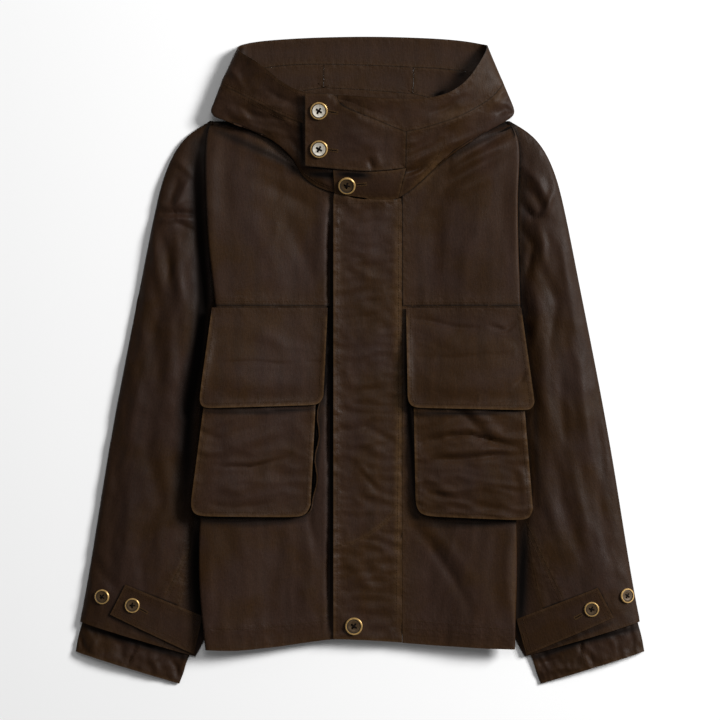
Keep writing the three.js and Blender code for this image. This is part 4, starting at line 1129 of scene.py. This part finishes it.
plainLooks = keyed("name colour roughness metallic grain specular", [
    ("waxedThread", (0.034, 0.0175, 0.0075, 1), 0.8, 0, 600, 0.05),
    ("buttonholeThread", (0.06, 0.032, 0.013, 1), 0.8, 0, 600, 0.05),
    ("slitShade", (0.002, 0.0012, 0.001, 1), 0.9, 0, 400, 0.05),
    ("brass", (0.46, 0.285, 0.1, 1), 0.36, 0.5, 300, 0.5),
    ("silvered", (0.6, 0.56, 0.48, 1), 0.4, 0.35, 300, 0.5),
    ("brownedBrass", (0.058, 0.032, 0.0105, 1), 0.46, 0.3, 260, 0.5),
    ("buttonGroove", (0.02, 0.012, 0.006, 1), 0.7, 0.2, 400, 0.5),
    ("crossThread", (0.006, 0.004, 0.003, 1), 0.9, 0, 900, 0.04),
])
finishes = {name: plainMaterial(name, look) for name, look in plainLooks.items()}


# points and directions at an even pitch along a path in space
def evenly(path, pitch):
    path = np.array(path)
    lengths = np.linalg.norm(np.diff(path, axis=0), axis=1)
    ends = np.concatenate(([0], np.cumsum(lengths)))
    count = max(2, int(ends[-1] / pitch))
    stops = (np.arange(count) + 0.5) * ends[-1] / count
    places = np.stack([np.interp(stops, ends, path[:, k]) for k in range(3)], axis=1)
    ahead = np.stack([np.interp(stops + 0.5 * pitch, ends, path[:, k]) for k in range(3)], axis=1)
    behind = np.stack([np.interp(stops - 0.5 * pitch, ends, path[:, k]) for k in range(3)], axis=1)
    return places, ahead - behind


def addStitch(batch, place, along, up, size):
    along = Vector(along).normalized()
    side = Vector(up).cross(along).normalized()
    up = along.cross(side)
    turn = np.array([[along[k] * size[0], side[k] * size[1], up[k] * size[2]] for k in range(3)])
    batch["faces"] += [[i + len(batch["points"]) * len(stitchPoints) for i in face] for face in stitchFaces]
    batch["points"].append(stitchPoints @ turn.T + np.array(place))


def planRow(node, points):
    path = []
    for (ax, ay), (bx, by) in zip(points, points[1:]):
        steps = max(1, int(math.hypot(bx - ax, by - ay) / 2))
        for k in range(steps):
            path.append((ax + (bx - ax) * k / steps, ay + (by - ay) * k / steps))
    path.append(points[-1])
    found = []
    for x, y in path:
        hit = trees[node].ray_cast(Vector((x * mm, y * mm, clothSet["aloft"])), Vector((0, 0, -1)))[0]
        if hit is not None:
            found.append(hit)
    return found


def edgeRows(node, row):
    points, loops = edgeLoops[node]
    rows = []
    for loop in loops:
        path, ahead = evenly(points[loop], 2 * mm)
        part = []
        for place, along in zip(path, ahead):
            _, normal, _, _ = trees[node].find_nearest(Vector(place))
            inward = normal.cross(Vector(along)).normalized()
            inner = max((Vector(place) + inward * sign * row["inset"] * mm for sign in (1, -1)),
                        key=lambda spot: -trees[node].find_nearest(spot)[3])
            spot = trees[node].find_nearest(inner)[0]
            x, y, z = spot / mm
            within = row.get("xMin", -999) < x < row.get("xMax", 999) and z > row.get("zMin", -999)
            if within and row.get("yMin", -999) < y < row.get("yMax", 999):
                part.append(spot)
            elif len(part) > 2:
                rows.append(part)
                part = []
        if len(part) > 2:
            rows.append(part)
    return rows


# sews stitches onto a path, end to end or, for close rows, side by side
def sewRow(batch, node, path, pitch, across=False):
    places, along = evenly(path, pitch)
    for place, run in zip(places, along):
        near, normal, _, _ = trees[node].find_nearest(Vector(place))
        if normal.z < -0.2:
            normal = -normal
        size = (threadSet["long"], 1, 1)
        if across:
            run = normal.cross(Vector(run))
            size = (threadSet["longAcross"], 1, 1)
        addStitch(batch, near + normal * 0.15 * mm, run, normal, size)


batches = {row["onto"]: {"points": [], "faces": []} for row in stitchLines + edgeStitches}
for row in stitchLines:
    batch = batches[row["onto"]]
    path = planRow(row["onto"], row["points"])
    if len(path) > 2:
        sewRow(batch, row["onto"], path, row.get("pitch", threadSet["pitch"]) * mm, "pitch" in row)
for row in edgeStitches:
    for path in edgeRows(row["onto"], row):
        sewRow(batches[row["onto"]], row["onto"], path, threadSet["pitch"] * mm)

# buttonholes: two close rows of thread across a dark slit
buttonholes = table("onto from to", [
    ("throat_tab", (-42, 320.5), (-29, 318)),
    ("throat_tab", (-42, 272), (-29, 270)),
    ("neck_stand", (-5, 227), (8, 228)),
    ("cuff_tab_right", (-287, -323), (-276.5, -329)),
    ("cuff_tab_left", (289, -331), (279, -336)),
])
slits = {"points": [], "faces": []}
holeSewing = {"points": [], "faces": []}
for hole in buttonholes:
    start, end = np.array(hole["from"], dtype=float), np.array(hole["to"], dtype=float)
    run = (end - start) / np.linalg.norm(end - start)
    across = np.array([-run[1], run[0]])
    beside, bar = across * threadSet["holeApart"] / 2, across * threadSet["bar"] / 2
    for ends in ((start + beside, end + beside), (start - beside, end - beside), (end - bar, end + bar)):
        sewRow(holeSewing, hole["onto"], planRow(hole["onto"], ends), threadSet["holePitch"] * mm, True)
    middle = planRow(hole["onto"], [start, end])
    addStitch(slits, middle[len(middle) // 2] + Vector((0, 0, 0.1 * mm)), middle[-1] - middle[0], (0, 0, 1),
              ((end - start) @ run, 1.8, 0.8))


def repeated(name, batch, material):
    mesh = bpy.data.meshes.new(name)
    mesh.from_pydata(np.concatenate(batch["points"]), [], batch["faces"])
    piece = newObject(name, mesh)
    mesh.materials.append(material)
    smoothShade(piece)
    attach(piece, "root")


for node, batch in batches.items():
    repeated(node + "Sewing", batch, finishes["waxedThread"])
repeated("buttonholeSlits", slits, finishes["slitShade"])
repeated("buttonholeSewing", holeSewing, finishes["buttonholeThread"])
print("sewing", sum(len(batch["points"]) for batch in batches.values()), "stitches")

# Buttons: a turned disc with four holes and a cross of thread
# each step is an inset, a rise and the number of its material in the list
buttonKinds = keyed("kind wide slot materials steps", [
    ("throat", 22.6, "silvered_button", ["brass", "silvered", "buttonGroove", "crossThread"],
     [(0.7, 0.5, 0), (1.0, 0, 0), (0.3, -1.0, 2), (0.8, 0, 2), (0.3, 0.7, 0), (0.5, 0, 1), (0.6, -0.3, 1)]),
    ("brass", 22.6, "brass_button", ["brass", "brownedBrass", "buttonGroove", "crossThread"],
     [(0.8, 0.6, 0), (1.2, 0, 0), (0.5, -1.4, 2), (0.7, 0, 2), (1.6, 0.3, 1), (0.8, -0.3, 1)]),
])
buttonSet = {"disc": 2.6, "holeRing": 3.2, "holeRadius": 1.5, "threadRadius": 0.66, "threadLong": 9.2,
             "threadOff": 0.55, "threadDrop": 1.9}


def pickFaces(mesh, test):
    bpy.ops.object.mode_set(mode="OBJECT")
    for face in mesh.polygons:
        face.select = test(face)
    bpy.ops.object.mode_set(mode="EDIT")


# a disc turned in steps, drilled, with two pairs of crossing threads
def turnedButton(kind):
    facts = buttonKinds[kind]
    bpy.ops.object.select_all(action="DESELECT")
    top = buttonSet["disc"] * mm
    bpy.ops.mesh.primitive_cylinder_add(vertices=40, radius=facts["wide"] / 2 * mm, depth=top,
                                        location=(0, 0, top / 2))
    button = bpy.context.object
    bpy.ops.object.transform_apply(location=True, rotation=False, scale=False)
    for name in facts["materials"]:
        button.data.materials.append(finishes[name])
    bpy.ops.object.mode_set(mode="EDIT")
    bpy.ops.mesh.select_mode(type="FACE")
    reach = facts["wide"] / 2
    for inset, rise, finish in facts["steps"]:
        pickFaces(button.data, lambda face: face.center.z > top - 0.01 * mm
                  and face.center.xy.length < 0.3 * mm and face.normal.z > 0.9)
        bpy.ops.mesh.inset(thickness=inset * mm, depth=0)
        bpy.ops.transform.translate(value=(0, 0, rise * mm))
        top += rise * mm
        reach -= inset
        bpy.ops.object.mode_set(mode="OBJECT")
        for face in button.data.polygons:
            if face.center.xy.length < (reach + inset) * mm * 0.99 and face.normal.z > -0.5:
                face.material_index = finish
        bpy.ops.object.mode_set(mode="EDIT")
    bpy.ops.object.mode_set(mode="OBJECT")
    bpy.ops.object.select_all(action="DESELECT")
    holes = []
    for turn in range(4):
        angle = math.radians(45 + 90 * turn)
        ring = buttonSet["holeRing"] * mm
        bpy.ops.mesh.primitive_cylinder_add(vertices=12, radius=buttonSet["holeRadius"] * mm, depth=8 * mm,
                                            location=(ring * math.cos(angle), ring * math.sin(angle), 1.5 * mm))
        holes.append(bpy.context.object)
    choose(*holes)
    bpy.ops.object.join()
    cutter = bpy.context.object
    drill = button.modifiers.new("holes", "BOOLEAN")
    drill.operation = "DIFFERENCE"
    drill.object = cutter
    drill.solver = "EXACT"
    applyModifiers(button)
    bpy.data.objects.remove(cutter)
    bars = []
    for turn in (45, 135):
        angle = math.radians(turn)
        for side in (-buttonSet["threadOff"], buttonSet["threadOff"]):
            bpy.ops.object.select_all(action="DESELECT")
            place = (-math.sin(angle) * side * mm, math.cos(angle) * side * mm, top + 0.35 * mm)
            bpy.ops.mesh.primitive_cylinder_add(vertices=8, radius=buttonSet["threadRadius"] * mm,
                                                depth=buttonSet["threadLong"] * mm, location=place,
                                                rotation=(math.pi / 2, 0, angle + math.pi / 2))
            bar = bpy.context.object
            bpy.ops.object.transform_apply(location=True, rotation=True, scale=False)
            bpy.ops.object.mode_set(mode="EDIT")
            bpy.ops.mesh.select_all(action="SELECT")
            bpy.ops.mesh.subdivide(number_cuts=2)
            bpy.ops.object.mode_set(mode="OBJECT")
            points = readPoints(bar.data)
            off = np.linalg.norm(points[:, :2], axis=1) / mm
            points[:, 2] -= smoothStep(2.4, 4.5, off) * buttonSet["threadDrop"] * mm
            writePoints(bar.data, points)
            bar.data.materials.append(finishes["crossThread"])
            bars.append(bar)
    choose(button, *bars)
    bpy.ops.object.join()
    smoothShade(button, 35)
    return button


masters = {kind: turnedButton(kind) for kind in buttonKinds}
buttonPlaces = keyed("node kind turn on", [
    ("button_throat_upper", "throat", 12, "throat_tab"),
    ("button_throat_lower", "throat", 14, "throat_tab"),
    ("button_neck", "brass", 40, "neck_stand"),
    ("button_hem", "brass", 2, "placket"),
    ("button_tab_right", "brass", 20, "cuff_tab_right"),
    ("button_sleeve_right", "brass", -8, "sleeve_right_top"),
    ("button_tab_left", "brass", 32, "cuff_tab_left"),
    ("button_sleeve_left", "brass", 6, "sleeve_left_top"),
])
# each button takes its solid's place, turned to its slope and lowered onto the cloth
for node, facts in buttonPlaces.items():
    points = readPoints(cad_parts[node].data)
    middle = points.mean(axis=0)
    axis = Vector(np.linalg.svd(points - middle)[2][2])
    if axis.z < 0:
        axis = -axis
    across = points - middle
    heights = across @ np.array(axis)
    wide = 2 * np.linalg.norm(across - np.outer(heights, np.array(axis)), axis=1).max()
    base = Vector(middle) + axis * float(heights.min())
    button = newObject(node + "Turned", masters[facts["kind"]].data.copy())
    size = wide / (buttonKinds[facts["kind"]]["wide"] * mm)
    turn = axis.to_track_quat("Z", "Y").to_matrix() @ Matrix.Rotation(math.radians(facts["turn"]), 3, "Z")
    spots = [base + turn @ (Vector((math.cos(a), math.sin(a), 0)) * wide * 0.45)
             for a in np.arange(0, 2 * math.pi, 0.5)]
    gaps = []
    for spot in spots:
        hit = trees[facts["on"]].ray_cast(spot + axis * 0.02, -axis)[0]
        if hit is not None:
            gaps.append((spot - hit).dot(axis))
    if gaps:
        base -= axis * (min(gaps) - 0.1 * mm)
    button.data.transform(Matrix.Translation(base) @ turn.to_4x4() @ Matrix.Scale(size, 4))
    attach(button, "root")
    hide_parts(node)
    print("button", node, round(wide / mm, 1), "mm, gap", round(min(gaps) / mm, 2) if gaps else None)
for master in masters.values():
    bpy.data.objects.remove(master)

# Floor and light
floorSet = {"size": 30, "low": -0.6 * mm, "tint": (0.94, 0.96), "roughness": 0.9}
bpy.ops.object.select_all(action="DESELECT")
bpy.ops.mesh.primitive_plane_add(size=floorSet["size"], location=(0, 0, floorSet["low"]))
floor = bpy.context.object
floor.name = "paleFloor"
material, graph, shader = newMaterial("paleFloor")
grain = addNode(graph, "TexNoise", {"Scale": 40}, "Fac")
fillNode(graph, shader, {"Base Color": rangeNode(graph, grain, 0, 1, *floorSet["tint"]),
                         "Roughness": floorSet["roughness"]})
floor.data.materials.append(material)

lights = {
    "key": {"place": (3.9, 1.9, 3.1), "size": 1.6, "power": 385},
    "over": {"place": (0.2, 1.6, 4.2), "size": 1.6, "power": 32},
}
for name, facts in lights.items():
    bpy.ops.object.light_add(type="AREA", location=facts["place"])
    lamp = bpy.context.object
    lamp.name = name + "Light"
    lamp.data.size = facts["size"]
    lamp.data.energy = facts["power"]
    lamp.rotation_euler = Vector(facts["place"]).to_track_quat("Z", "Y").to_euler()
studio = {"colour": (1, 1, 1, 1), "strength": 0.15}
world = bpy.data.worlds.new("studio")
scene.world = world
world.use_nodes = True
fillNode(world.node_tree, world.node_tree.nodes["Background"], {"Color": studio["colour"],
                                                                "Strength": studio["strength"]})
scene.view_settings.view_transform = "Standard"
print("lights set")
